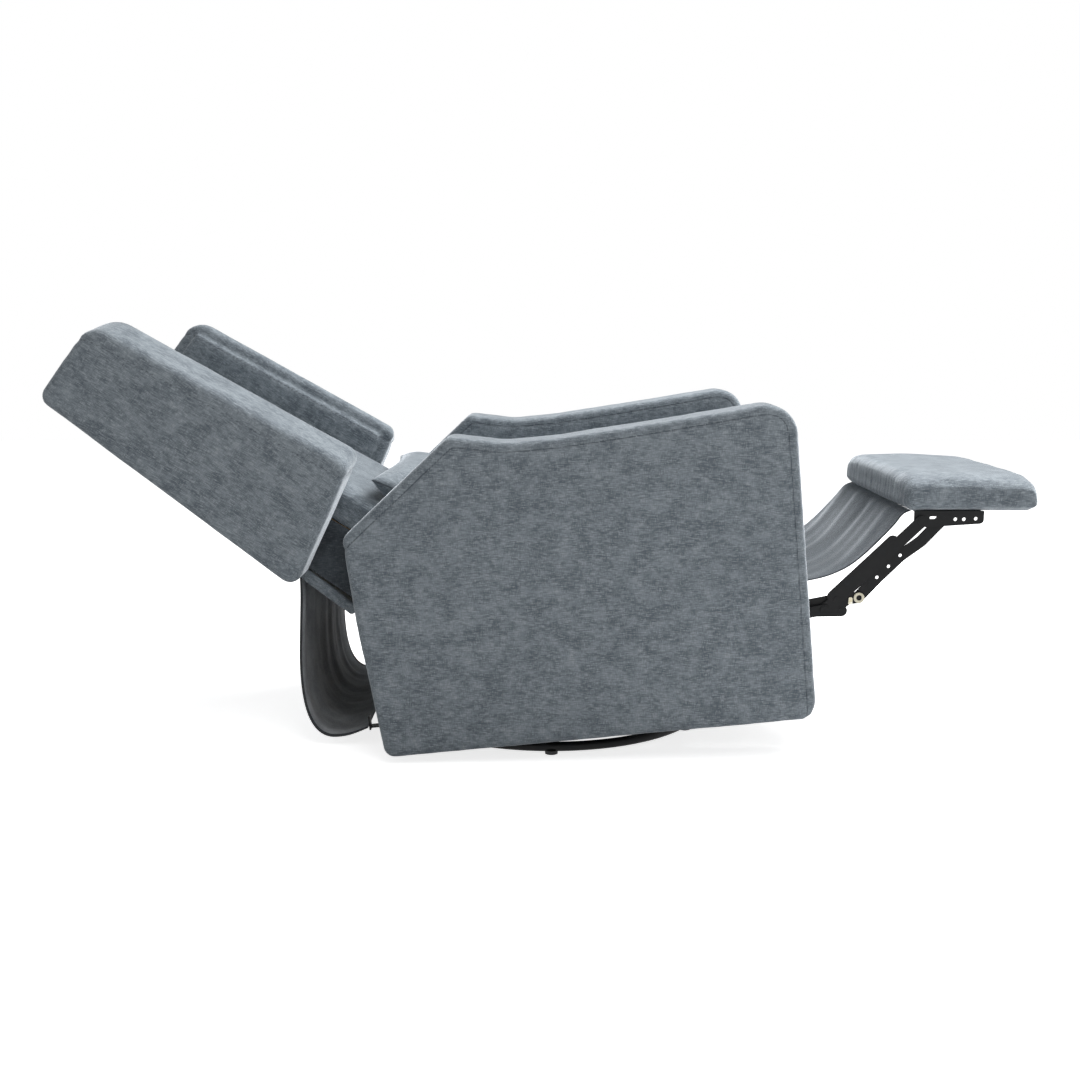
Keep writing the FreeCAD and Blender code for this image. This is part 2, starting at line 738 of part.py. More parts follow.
def footrest_pad():
    """Crowned pad with a round rear roll, wrapped down past its board."""
    wires = []
    for y, draw, drop in stations(FOOTREST_HALF, 10, 3):
        x0, x1 = PAD_X[0] + draw, PAD_X[1] - draw
        z0, z1 = PAD_Z[0] + draw * 0.4, PAD_Z[1] - drop - draw
        middle = (x0 + x1) / 2
        points = [(x0, z0), (x1, z0), (x1, z1 - 7), (middle, z1 + 1), (x0, z1 - 3)]
        wires.append(rounded_wire(points, [17, 12, 18, 500, 19], y))
    pad = loft(wires)
    board = block(BOARD_X, (-BOARD_HALF, BOARD_HALF), (PAD_Z[0] - 20, BOARD_Z[1]))
    return solid_of(pad.cut(board))


def footrest_bracket():
    """Angle under the board with its pivots, spare holes and slot."""
    y0, y1 = LAYER_LOWER, LAYER_LOWER + PLATE
    x0, x1 = BRACKET_PIVOT[0] - 13, BRACKET_PIVOT[0] + 117
    top = BOARD_Z[0]
    outline = [(x0, top - 28), (x0 + 24, top - 31), (x1, top - 24), (x1, top), (x0, top)]
    web = plate(outline, y0, y1, [8, 6, 8, 2, 2])
    flange = block((x0 + 4, x1 - 4), (LAYER_SECOND - 26, y1), (top - PLATE, top))
    body = fuse(web, flange)
    body = drilled(body, [BRACKET_PIVOT, SECOND_PIVOT], y0, y1, PIN_R + RUNNING)
    body = drilled(body, [(754, 434), (770, 434), (792, 435)], y0, y1, 3.5)
    slot = bar([(708, 437), (717, 437)], 2.5, y0, y1)
    return body.cut(slot)


# Back.


def back_side_boards():
    outline = [from_back(p) for p in BACK_BOARD]
    return both(plate(outline, BACK_BOARD_Y[0], BACK_BOARD_Y[1]))


def back_box(s, t, half):
    corners = [(s[0], t[0]), (s[1], t[0]), (s[1], t[1]), (s[0], t[1])]
    return plate([from_back(p) for p in corners], -half, half)


def back_cross_rails():
    half = BACK_BOARD_Y[0]
    top = back_box((632, 667), (-156, BOARD_FRONT - 0.4), half)
    middle = back_box((330, 356), (-194, -152), half)
    bottom = back_box((26, 60), (-245, -205), half)
    return Part.makeCompound([top, middle, bottom])


def back_webbing():
    half = BACK_BOARD_Y[0]
    depth = (BOARD_FRONT - 2.9, BOARD_FRONT - 0.4)
    straps = [back_box((s - 25, s + 25), depth, half) for s in (120, 245, 370, 495, 600)]
    return Part.makeCompound(straps)


def back_cushion():
    """Front of the back: crowned across, drawn in beside the wings."""
    wires = []
    for y, side, drop in stations(BACK_HALF, 10, 5):
        draw = side + drop - 3
        low, high = 4 + draw, BACK_TOP - draw
        top = CUSHION_FRONT - draw
        belly = (CUSHION_BELLY[0], top + CUSHION_BELLY[1])
        points = [(low, CUSHION_REAR), (low - 2, top - 8), belly, (high - 8, top - 6),
                  (high + 16, CUSHION_REAR)]
        wires.append(rounded_wire([from_back(p) for p in points], [6, 24, 500, 24, 6], y))
    return loft(wires)


def back_rear_panel():
    points = [from_back(p) for p in PANEL_OUTER + PANEL_INNER]
    radii = [6, 60, 60, 200, 14, 14, 4, 2, 8, 200, 60, 60, 6]
    return plate(points, -BACK_HALF, BACK_HALF, radii)


def neck_covers():
    """Side skins of the neck that runs down between the arms."""
    outline = [(25, -250), (160, -240), (205, -228), (330, -205), (330, BOARD_FRONT),
               (25, BOARD_FRONT)]
    points = [from_back(p) for p in outline]
    return both(plate(points, BACK_BOARD_Y[1], BACK_HALF))


def back_brackets():
    """Steel plates from the side boards down to the recline pivot."""
    pivot = RECLINE_PIVOT
    y1 = BACK_BOARD_Y[0]
    y0 = y1 - 4
    outline = [from_back(p) for p in ((200, -222), (200, -150), (30, -143), (-60, -148))]
    body = plate(outline + [add(pivot, (-20, 6))], y0, y1, [10, 10, 12, 12, 6])
    body = fuse(body, disc(pivot, 22, y0, y1))
    return both(body.cut(disc(pivot, 8 + RUNNING, y0, y1)))


def inset(points, by):
    """Outline moved inwards by a fixed distance; the points run clockwise."""
    moved = []
    count = len(points)
    for i in range(count):
        a, b, c = points[i - 1], points[i], points[(i + 1) % count]
        d0, d1 = unit(sub(b, a)), unit(sub(c, b))
        n0, n1 = (d0[1], -d0[0]), (d1[1], -d1[0])
        middle = unit(add(n0, n1))
        scale = by / (middle[0] * n0[0] + middle[1] * n0[1])
        moved.append(add(b, (middle[0] * scale, middle[1] * scale)))
    return moved


def wing_frames():
    """Plywood wings between the back and its padded side pieces."""
    return both(plate(inset(WING_OUTLINE, 26), BACK_HALF, WING_INNER))


def wing_cover():
    return padded_slab(WING_OUTLINE, WING_RADII, WING_INNER, OUTER, EDGE_R)


# Pillow and flaps.


def lumbar_pillow():
    """Loose pillow: full in the middle, thin at the edges, with drawn-out corners."""
    wires = []
    blunt = 5.0
    for y, corner, _ in stations(PILLOW_HALF_W, 1, 0):
        half_h = PILLOW_HALF_H + PILLOW_CORNER * corner
        half_t = blunt + 1 + PILLOW_HALF_T * (1 - abs(y / PILLOW_HALF_W) ** 3) ** 0.8
        a, b = (-half_h, -blunt), (half_h, -blunt)
        c, d = (half_h, blunt), (-half_h, blunt)
        ring = []
        for p, q, r in ((a, (0, -half_t), b), (b, (half_h + 1, 0), c), (c, (0, half_t), d),
                        (d, (-half_h - 1, 0), a)):
            ring.append(Part.Arc(*[pillow_point(k, y) for k in (p, q, r)]).toShape())
        wires.append(Part.Wire(ring))
    return loft(wires)


def pillow_rise():
    """Slope, in degrees, that the pillow slides up: that of the seat's rear half."""
    run = (SEAT_FRONT - SEAT_REAR) / 2
    fall = SEAT_REAR_FALL + SEAT_CROWN
    return SEAT_RAKE + math.degrees(math.atan2(fall, run)) + 0.2


def pillow_point(point, y):
    turned = turn((-point[0], point[1]), PILLOW_SLOPE)
    return V(PILLOW_AT[0] + turned[0], y, PILLOW_AT[1] + turned[1])


def ribbon(at, normal, wave, folds, half):
    """Closed outline of a rippled cloth section, across the part at one point."""
    step = 2 * half / folds
    faces = []
    for side in (0, FLAP_T):
        arcs = []
        for i in range(folds):
            y0 = -half + step * i
            bulge = wave if i % 2 == 0 else -wave
            shift = [(y0, side), (y0 + step / 2, side + bulge), (y0 + step, side)]
            pts = [V(at[0] + normal[0] * n, y, at[1] + normal[1] * n) for y, n in shift]
            arcs.append(Part.Arc(*pts).toShape())
        faces.append(arcs)
    first, second = faces
    start = Part.LineSegment(first[-1].Vertexes[-1].Point, second[-1].Vertexes[-1].Point)
    stop = Part.LineSegment(second[0].Vertexes[0].Point, first[0].Vertexes[0].Point)
    return Part.Wire(first + [start.toShape()] + second[::-1] + [stop.toShape()])


def flap(path, waves, folds, half):
    """Hanging cloth along a path, with soft folds running down it."""
    wires = []
    for i, at in enumerate(path):
        before = path[max(0, i - 1)]
        after = path[min(len(path) - 1, i + 1)]
        along = unit(sub(after, before))
        wires.append(ribbon(at, (-along[1], along[0]), waves[i], folds, half))
    return loft(wires)


def rear_flap():
    return flap(REAR_FLAP_PATH, [2, 4, 7, 7, 5, 4, 2], 9, REAR_FLAP_HALF)


def footrest_flap():
    return flap(FOOT_FLAP_PATH, [2, 4, 5, 6, 5, 4, 2], 7, FOOT_FLAP_HALF)


def all_parts():
    """Every node's name and solid."""
    return {
        "base_ring": base_ring(),
        "base_feet": base_feet(),
        "base_spokes": base_spokes(),
        "swivel_lower_race": swivel_lower_race(),
        "swivel_washer": swivel_washer(),
        "swivel_upper_race": swivel_upper_race(),
        "swivel_bolt": swivel_bolt(),
        "turntable_plate": turntable_plate(),
        "left_glider_bracket": glider_bracket(),
        "right_glider_bracket": mirrored(glider_bracket()),
        "glider_cross_tube": glider_cross_tube(),
        "glide_stops": glide_stops(),
        "rear_glide_links": rear_glide_links(),
        "front_glide_links": front_glide_links(),
        "left_carriage_rail": carriage_rail(),
        "right_carriage_rail": mirrored(carriage_rail()),
        "front_crossbar": front_crossbar(),
        "rear_rail": rear_rail(),
        "flap_clips": flap_clips(),
        "left_arm_frame": arm_frame(),
        "right_arm_frame": mirrored(arm_frame()),
        "left_arm_cover": arm_cover(),
        "right_arm_cover": mirrored(arm_cover()),
        "seat_side_rails": seat_side_rails(),
        "seat_cross_rails": seat_cross_rails(),
        "seat_front_rail": seat_front_rail(),
        "flap_board": flap_board(),
        "seat_springs": seat_springs(),
        "seat_cushion": seat_cushion(),
        "back_pivots": back_pivots(),
        "left_mechanism_plate": mechanism_plate(),
        "right_mechanism_plate": mirrored(mechanism_plate()),
        "left_lower_link": lower_link(),
        "right_lower_link": mirrored(lower_link()),
        "drive_tube": drive_tube(),
        "knee_rollers": knee_rollers(),
        "knee_tabs": knee_tabs(),
        "lower_guide_links": both(guide_link()),
        "left_upper_link": upper_link(),
        "right_upper_link": mirrored(upper_link()),
        "left_upper_guide_link": second_link(),
        "right_upper_guide_link": mirrored(second_link()),
        "footrest_board": footrest_board(),
        "footrest_pad": footrest_pad(),
        "left_footrest_bracket": footrest_bracket(),
        "right_footrest_bracket": mirrored(footrest_bracket()),
        "back_side_boards": back_side_boards(),
        "back_cross_rails": back_cross_rails(),
        "back_webbing": back_webbing(),
        "back_cushion": back_cushion(),
        "back_rear_panel": back_rear_panel(),
        "neck_covers": neck_covers(),
        "back_brackets": back_brackets(),
        "wing_frames": wing_frames(),
        "left_wing_cover": wing_cover(),
        "right_wing_cover": mirrored(wing_cover()),
        "lumbar_pillow": lumbar_pillow(),
        "rear_flap": rear_flap(),
        "footrest_flap": footrest_flap(),
    }


def main():
    os.makedirs("parts", exist_ok=True)
    print("exact glide swing and ratios", exact_ratios(), "open pivot error", glide_error())
    for name, shape in all_parts().items():
        shape.exportStep("parts/" + name + ".step")
        box = shape.BoundBox
        print(name, "valid", shape.isValid(), "volume", round(shape.Volume),
              [round(v, 1) for v in (box.XMin, box.XMax, box.YMin, box.YMax, box.ZMin, box.ZMax)])


if __name__ == "__main__":
    main()
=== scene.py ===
"""Swivel glider recliner in slate chenille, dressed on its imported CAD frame.

Lengths are metres unless a name or docstring says millimetres, +X forward, +Z up, +Y the
sitter's left, and the origin is on the floor at the swivel axis.  The chair is laid back
with its footrest out.
"""
import json
import logging
import math
from dataclasses import dataclass
from enum import Enum
from typing import Any, Callable, Sequence

import bmesh
import bpy
import numpy as np
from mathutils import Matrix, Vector, noise


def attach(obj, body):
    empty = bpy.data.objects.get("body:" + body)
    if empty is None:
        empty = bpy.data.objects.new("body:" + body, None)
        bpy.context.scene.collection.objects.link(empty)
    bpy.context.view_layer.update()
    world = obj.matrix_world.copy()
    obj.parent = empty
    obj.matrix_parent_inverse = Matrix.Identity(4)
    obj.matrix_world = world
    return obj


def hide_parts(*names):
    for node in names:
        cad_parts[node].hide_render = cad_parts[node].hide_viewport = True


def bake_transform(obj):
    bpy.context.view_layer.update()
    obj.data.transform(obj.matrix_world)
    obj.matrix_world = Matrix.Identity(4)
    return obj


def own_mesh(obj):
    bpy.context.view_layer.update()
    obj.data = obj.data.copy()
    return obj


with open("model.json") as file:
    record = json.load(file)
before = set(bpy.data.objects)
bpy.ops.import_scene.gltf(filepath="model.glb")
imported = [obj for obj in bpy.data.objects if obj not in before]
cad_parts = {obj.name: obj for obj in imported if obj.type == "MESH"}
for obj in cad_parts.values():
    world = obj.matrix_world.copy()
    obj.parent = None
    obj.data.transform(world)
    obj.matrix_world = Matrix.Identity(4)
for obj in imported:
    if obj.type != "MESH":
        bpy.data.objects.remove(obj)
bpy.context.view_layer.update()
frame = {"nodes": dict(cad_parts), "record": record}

Point = tuple[float, float]
Triple = tuple[float, float, float]
Colour = tuple[float, float, float, float]
Array = np.ndarray
Tree = bpy.types.NodeTree
Socket = bpy.types.NodeSocket

LOG = logging.getLogger("recliner")
MM = 0.001
TINY = 1e-12
WELD = 0.02 * MM  # corners of a CAD solid that are closer than this are one corner
SEAM_FAR = 1.0  # distance to a seam on a piece that has none


class Side(Enum):
    """Half of the chair, by the sign of its y."""

    LEFT = 1
    RIGHT = -1

    @property
    def word(self) -> str:
        """Name that the half's pieces start with."""
        return self.name.lower()


# Nodes and colours.

MIX_FIRST, MIX_SECOND, MIX_RESULT = 6, 7, 2  # colour sockets of a Mix node
GRAIN_ROUGHNESS = 0.55  # share of finer noise in every grain


def linear(code: str) -> Colour:
    """Turns an sRGB hex colour to linear values.

    Args:
        code: Colour as "#rrggbb".

    Returns:
        Linear red, green and blue, and an alpha of 1.
    """
    values = []
    for start in (1, 3, 5):
        v = int(code[start:start + 2], 16) / 255
        values.append(v / 12.92 if v <= 0.04045 else ((v + 0.055) / 1.055) ** 2.4)
    return (values[0], values[1], values[2], 1.0)


def add_node(
    tree: Tree,
    kind: str,
    settings: dict[Any, Any] | None = None,
    links: dict[Any, Any] | None = None,
) -> bpy.types.Node:
    """Adds a node with its settings and links.

    Args:
        tree: Node tree it goes into.
        kind: Blender's name of the node type, without "ShaderNode".
        settings: Property or input to value.
        links: Input to the socket that feeds it.

    Returns:
        The new node.
    """
    node = tree.nodes.new("ShaderNode" + kind)
    for key, value in (settings or {}).items():
        if isinstance(key, str) and key in node.bl_rna.properties:
            setattr(node, key, value)
        else:
            node.inputs[key].default_value = value
    for key, socket in (links or {}).items():
        tree.links.new(socket, node.inputs[key])
    return node


def eased(ends: Point, to: Point = (0.0, 1.0)) -> dict[str, Any]:
    """Settings that ease a value's range to another range, clamped at both ends.

    Args:
        ends: Values that become the two ends of the new range.
        to: The new range.

    Returns:
        Settings of a MapRange node.
    """
    return {"interpolation_type": "SMOOTHSTEP", "From Min": ends[0], "From Max": ends[1],
            "To Min": to[0], "To Max": to[1]}


def fade(tree: Tree, value: Socket, ends: Point, first: str | Socket, second: str | Socket,
         share: Point = (0.0, 1.0)) -> Socket:
    """Fades from one colour to another while a value crosses a range.

    Args:
        tree: Node tree.
        value: Socket that decides.
        ends: Values where the fade starts and stops.
        first: Hex colour or colour socket to fade from.
        second: Hex colour or colour socket to fade to.
        share: Share of the second colour at both ends.

    Returns:
        Socket of the faded colour.
    """
    amount = add_node(tree, "MapRange", eased(ends, share), {"Value": value}).outputs[0]
    settings, links = {"data_type": "RGBA"}, {0: amount}
    for place, colour in ((MIX_FIRST, first), (MIX_SECOND, second)):
        if isinstance(colour, str):
            settings[place] = linear(colour)
        else:
            links[place] = colour
    return add_node(tree, "Mix", settings, links).outputs[MIX_RESULT]


def grains(tree: Tree, at: Socket, size_mm: Triple, detail: float = 2.0) -> Socket:
    """Adds noise whose grains have a real size along each axis.

    Args:
        tree: Node tree.
        at: Coordinates in metres.
        size_mm: Grain size along X, Y and Z.
        detail: Octaves of finer noise.

    Returns:
        Socket of the noise value.
    """
    scale = tuple(1 / (s * MM) for s in size_mm)
    sized = add_node(tree, "Mapping", {"Scale": scale}, {"Vector": at}).outputs[0]
    settings = {"Scale": 1.0, "Detail": detail, "Roughness": GRAIN_ROUGHNESS}
    return add_node(tree, "TexNoise", settings, {"Vector": sized}).outputs["Fac"]


def weighed(tree: Tree, terms: Sequence[tuple[Socket, float]]) -> Socket:
    """Adds up sockets, each times a weight.

    Args:
        tree: Node tree.
        terms: Pairs of socket and weight.

    Returns:
        Socket of the sum.
    """
    total = None
    for socket, weight in terms:
        settings = {"operation": "MULTIPLY_ADD", 1: weight, 2: 0.0}
        links = {0: socket}
        if total is not None:
            links[2] = total
        total = add_node(tree, "Math", settings, links).outputs[0]
    return total


@dataclass(frozen=True)
class Finish:
    """A surface finish; each kind fills in its own pattern."""

    name: str

    def pattern(self, tree: Tree, at: Socket) -> dict[str, Any]:
        """Adds the finish's nodes.

        Args:
            tree: Material's node tree.
            at: Object coordinates, in metres.

        Returns:
            Principled input to value or socket.
        """
        raise NotImplementedError

    def make(self) -> bpy.types.Material:
        """Makes the material, unless an earlier piece has made it.

        Returns:
            The finish's material.
        """
        found = bpy.data.materials.get(self.name)
        if found:
            return found
        material = bpy.data.materials.new(self.name)
        material.use_nodes = True
        tree = material.node_tree
        tree.nodes.clear()
        at = add_node(tree, "TexCoord").outputs["Object"]
        inputs = self.pattern(tree, at)
        links = {k: v for k, v in inputs.items() if isinstance(v, Socket)}
        values = {k: v for k, v in inputs.items() if k not in links}
        shader = add_node(tree, "BsdfPrincipled", values, links)
        add_node(tree, "OutputMaterial", links={"Surface": shader.outputs[0]})
        return material


@dataclass(frozen=True)
class Chenille(Finish):
    """Heathered polyester chenille.

    Short soft tufts are twisted into yarn and woven.  That gives the eye a matt nap that
    is palest at grazing angles, flecks of two greys along both yarns, and cloudy patches
    where the nap lies over.
    """

    name: str = "slate_chenille"
    deep: str = "#5B636A"
    body: str = "#7E868C"
    bloom: str = "#A6ADB2"
    # Dark of the seam line: the stitching's own colour and painted shade in the seam's crease.
    thread_and_crease_shade: str = "#33383D"
    nap_glow: str = "#E4EAF0"
    cloud_mm: float = 34.0
    yarn_mm: float = 2.2  # real yarn is near 1.5 mm; drawn coarser so that it shows
    tuft_mm: float = 2.0
    stitch_mm: Point = (0.4, 2.2)
    crease_shade_share: float = 0.6
    turn_deg: float = 0.0

    def pattern(self, tree: Tree, at: Socket) -> dict[str, Any]:
        """Adds clouds, flecks along both yarns, tufts and the sunk seams, which are darkened by
        their stitching and by painted shade in their crease.

        Args:
            tree: Material's node tree.
            at: Object coordinates, in metres.

        Returns:
            Principled input to value or socket.
        """
        turn = {"Rotation": (0.0, math.radians(self.turn_deg), 0.0)}
        at = add_node(tree, "Mapping", turn, {"Vector": at}).outputs[0]
        y, c = self.yarn_mm, self.cloud_mm
        clouds = grains(tree, at, (c * 1.2, c, c * 0.9), 3.0)
        wisps = grains(tree, at, (c * 0.4, c * 0.25, c * 0.22))
        weft = grains(tree, at, (y * 5.0, y, y * 0.6))
        warp = grains(tree, at, (y * 0.6, y, y * 3.0))
        tufts = add_node(tree, "TexVoronoi", {"Scale": 1 / (self.tuft_mm * MM)}, {"Vector": at})
        nap = weighed(tree, ((clouds, 0.55), (wisps, 0.45)))
        flecks = weighed(tree, ((weft, 0.62), (warp, 0.38)))
        seam = add_node(tree, "Attribute", {"attribute_name": "seam"}).outputs["Fac"]
        stitch = (self.stitch_mm[0] * MM, self.stitch_mm[1] * MM)
        crease_shade_ends = (self.crease_shade_share, 0.0)

        base = fade(tree, nap, (0.34, 0.66), self.deep, self.body)
        base = fade(tree, flecks, (0.46, 0.68), base, self.bloom, (0.0, 0.6))
        base = fade(tree, flecks, (0.34, 0.47), base, self.deep, (0.5, 0.0))
        # Darkens along the seams: partly the stitching, partly painted shade in the sunk seam's
        # crease.
        base = fade(tree, seam, stitch, base, self.thread_and_crease_shade, crease_shade_ends)

        line = add_node(tree, "MapRange", eased(stitch, crease_shade_ends), {"Value": seam}).outputs[0]
        height = weighed(tree, ((tufts.outputs["Distance"], -0.5), (flecks, 0.9), (wisps, 0.8),
                                (line, -0.9)))
        bump = add_node(tree, "Bump", {"Strength": 0.55, "Distance": 1.1 * MM},
                        {"Height": height})
        return {"Base Color": base, "Roughness": 0.95, "Normal": bump.outputs[0],
                "Specular IOR Level": 0.15, "Sheen Weight": 0.9, "Sheen Roughness": 0.36,
                "Sheen Tint": linear(self.nap_glow)}


@dataclass(frozen=True)
class Lining(Finish):
    """Brushed polyester dust cloth: plain, thin and matt, with a fine crossed weave, its greys
    lifted above the cloth's own darker grey as painted light showing through it.
    """

    name: str = "dust_cloth_painted_light"
    # Both greys are lighter than the cloth itself: painted light for light that shows through the
    # thin cloth.
    dark: str = "#85888C"
    light: str = "#A8ABAE"
    hem: str = "#303236"
    hem_mm: Point = (6.5, 7.5)
    thread_mm: float = 1.6

    def pattern(self, tree: Tree, at: Socket) -> dict[str, Any]:
        """Adds the weave, faint clouds and the dark binding along the edges.

        Args:
            tree: Material's node tree.
            at: Object coordinates, in metres.

        Returns:
            Principled input to value or socket.
        """
        t = self.thread_mm
        clouds = grains(tree, at, (40, 26, 60), 3.0)
        across = grains(tree, at, (t, t * 4, t), 1.0)
        down = grains(tree, at, (t, t, t * 5), 1.0)
        tone = weighed(tree, ((clouds, 0.5), (across, 0.25), (down, 0.25)))
        edge = add_node(tree, "Attribute", {"attribute_name": "seam"}).outputs["Fac"]
        bound = (self.hem_mm[0] * MM, self.hem_mm[1] * MM)

        base = fade(tree, tone, (0.36, 0.64), self.dark, self.light)
        base = fade(tree, edge, bound, base, self.hem, (0.92, 0.0))
        height = weighed(tree, ((across, 0.5), (down, 0.5), (clouds, 0.8)))
        bump = add_node(tree, "Bump", {"Strength": 0.4, "Distance": 0.7 * MM}, {"Height": height})
        return {"Base Color": base, "Roughness": 0.9, "Normal": bump.outputs[0],
                "Specular IOR Level": 0.2, "Sheen Weight": 0.12}


@dataclass(frozen=True)
class SatinPaint(Finish):
    """Electrophoretic black paint on pressed steel: thin, even and satin, slightly duller
    and greyer where dust lies."""

    name: str = "satin_black_paint"
    dark: str = "#08090B"
    dusty: str = "#15171A"
    roughness: Point = (0.45, 0.6)

    def pattern(self, tree: Tree, at: Socket) -> dict[str, Any]:
        """Adds dust clouds and a faint grain.

        Args:
            tree: Material's node tree.
            at: Object coordinates, in metres.

        Returns:
            Principled input to value or socket.
        """
        dust = grains(tree, at, (22, 22, 22), 4.0)
        grain = grains(tree, at, (0.9, 0.9, 0.9), 1.0)
        base = fade(tree, dust, (0.5, 0.75), self.dark, self.dusty)
        gloss = add_node(tree, "MapRange", eased((0.3, 0.7), self.roughness), {"Value": dust})
        bump = add_node(tree, "Bump", {"Strength": 0.15, "Distance": 0.2 * MM}, {"Height": grain})
        return {"Base Color": base, "Roughness": gloss.outputs[0], "Normal": bump.outputs[0],
                "Specular IOR Level": 0.22}


@dataclass(frozen=True)
class PlatedSteel(Finish):
    """Zinc-plated or drawn steel: a bright metal with a slightly uneven, cloudy gloss."""

    name: str = "bright_zinc_plate"
    pale: str = "#C9C8BE"
    warm: str = "#A79F86"
    roughness: Point = (0.24, 0.4)

    def pattern(self, tree: Tree, at: Socket) -> dict[str, Any]:
        """Adds the cloudy plating and fine drawing lines.

        Args:
            tree: Material's node tree.
            at: Object coordinates, in metres.

        Returns:
            Principled input to value or socket.
        """
        cloud = grains(tree, at, (9, 9, 9), 3.0)
        lines = grains(tree, at, (6, 0.5, 6), 1.0)
        base = fade(tree, cloud, (0.35, 0.7), self.pale, self.warm)
        gloss = add_node(tree, "MapRange", eased((0.3, 0.7), self.roughness), {"Value": lines})
        bump = add_node(tree, "Bump", {"Strength": 0.12, "Distance": 0.1 * MM}, {"Height": lines})
        return {"Base Color": base, "Metallic": 1.0, "Roughness": gloss.outputs[0],
                "Normal": bump.outputs[0]}


@dataclass(frozen=True)
class Plywood(Finish):
    """Unfinished poplar plywood: pale, dry and fibrous, with long soft grain."""

    name: str = "raw_plywood"
    pale: str = "#CDB288"
    dark: str = "#A07E50"

    def pattern(self, tree: Tree, at: Socket) -> dict[str, Any]:
        """Adds long grain and short pores.

        Args:
            tree: Material's node tree.
            at: Object coordinates, in metres.

        Returns:
            Principled input to value or socket.
        """
        grain = grains(tree, at, (90, 7, 7), 3.0)
        pores = grains(tree, at, (9, 0.8, 0.8), 1.0)
        tone = weighed(tree, ((grain, 0.7), (pores, 0.3)))
        base = fade(tree, tone, (0.35, 0.65), self.pale, self.dark)
        bump = add_node(tree, "Bump", {"Strength": 0.3, "Distance": 0.3 * MM}, {"Height": pores})
        return {"Base Color": base, "Roughness": 0.75, "Normal": bump.outputs[0],
                "Specular IOR Level": 0.3}


@dataclass(frozen=True)
class Webbing(Finish):
    """Woven elastic webbing: ribbed across its width, dull black with grey rubber flecks."""

    name: str = "elastic_webbing"
    dark: str = "#15171A"
    fleck: str = "#3A3E43"
    rib_mm: float = 2.4

    def pattern(self, tree: Tree, at: Socket) -> dict[str, Any]:
        """Adds the ribs and flecks.

        Args:
            tree: Material's node tree.
            at: Object coordinates, in metres.

        Returns:
            Principled input to value or socket.
        """
        ribs = grains(tree, at, (self.rib_mm, 40, self.rib_mm), 1.0)
        flecks = grains(tree, at, (1.2, 3.0, 1.2), 1.0)
        tone = weighed(tree, ((ribs, 0.6), (flecks, 0.4)))
        base = fade(tree, tone, (0.45, 0.7), self.dark, self.fleck)
        bump = add_node(tree, "Bump", {"Strength": 0.5, "Distance": 0.5 * MM}, {"Height": ribs})
        return {"Base Color": base, "Roughness": 0.85, "Normal": bump.outputs[0],
                "Specular IOR Level": 0.3}


@dataclass(frozen=True)
class Moulded(Finish):
    """Moulded rubber or plastic with a fine spark-eroded grain."""

    name: str
    main: str = "#141517"
    worn: str = "#2A2C2F"
    roughness: float = 0.6
    grain_mm: float = 0.8

    def pattern(self, tree: Tree, at: Socket) -> dict[str, Any]:
        """Adds the moulded grain and a few paler rubbed places.

        Args:
            tree: Material's node tree.
            at: Object coordinates, in metres.

        Returns:
            Principled input to value or socket.
        """
        g = self.grain_mm
        grain = grains(tree, at, (g, g, g), 1.0)
        rubbed = grains(tree, at, (14, 14, 14), 4.0)
        base = fade(tree, rubbed, (0.5, 0.8), self.main, self.worn)
        bump = add_node(tree, "Bump", {"Strength": 0.25, "Distance": 0.2 * MM}, {"Height": grain})
        return {"Base Color": base, "Roughness": self.roughness, "Normal": bump.outputs[0]}


SEAT_CLOTH = Chenille()
BACK_CLOTH = Chenille(name="slate_chenille_back", turn_deg=-31.0)
PILLOW_CLOTH = Chenille(name="slate_chenille_pillow", turn_deg=-24.0, cloud_mm=30.0)
# Darker copy of the slate chenille: painted shade for the neck's sides under the wings and for
# the footrest flap under the seat's front.
SHADED_CHENILLE = Chenille("slate_chenille_painted_shade", "#363B40", "#4A5055", "#686E73", cloud_mm=40.0)
DUST_CLOTH = Lining()
CAD_FINISHES: dict[str, Finish] = {
    "blue_fabric": SEAT_CLOTH,
    "dark_lining": DUST_CLOTH,
    "webbing": Webbing(),
    "frame_wood": Plywood(),
    "black_steel": SatinPaint(),
    "bright_zinc": PlatedSteel(),
    "spring_steel": PlatedSteel("drawn_spring_wire", "#8B8C8E", "#6A6A68", (0.35, 0.5)),
    "rubber": Moulded("moulded_rubber", roughness=0.8),
    "nylon": Moulded("moulded_nylon", "#D9D3BE", "#BFB79C", 0.45),
    "black_plastic": Moulded("moulded_foot", "#101113", "#222427", 0.55),
}


# Mesh tools.

NOISE_STEP = 17.31  # places between the patterns of two seeds
CLOTH_FRAMES = 20
CLOTH_BENDING = 0.8
CLOTH_PRESSURE = 4.0


def read_rows(source: Any, key: str) -> Array:
    """Reads a vector property of every item of a mesh collection.

    Args:
        source: Blender's collection.
        key: Name of the property.

    Returns:
        One row for each item.
    """
    found = np.empty(len(source) * 3)
    source.foreach_get(key, found)
    return found.reshape(-1, 3)


def points_of(obj: bpy.types.Object) -> Array:
    """Vertex places of an object, as rows."""
    return read_rows(obj.data.vertices, "co")


def normals_of(obj: bpy.types.Object) -> Array:
    """Vertex normals of an object, as rows."""
    return read_rows(obj.data.vertex_normals, "vector")


def place_points(obj: bpy.types.Object, points: Array) -> None:
    """Writes an object's vertex places."""
    obj.data.vertices.foreach_set("co", points.ravel())
    obj.data.update()


def activate(obj: bpy.types.Object) -> None:
    """Makes an object the only selected and the active one.

    Args:
        obj: Object that the next operator works on.
    """
    bpy.ops.object.select_all(action="DESELECT")
    obj.hide_viewport = False
    obj.select_set(True)
    bpy.context.view_layer.objects.active = obj


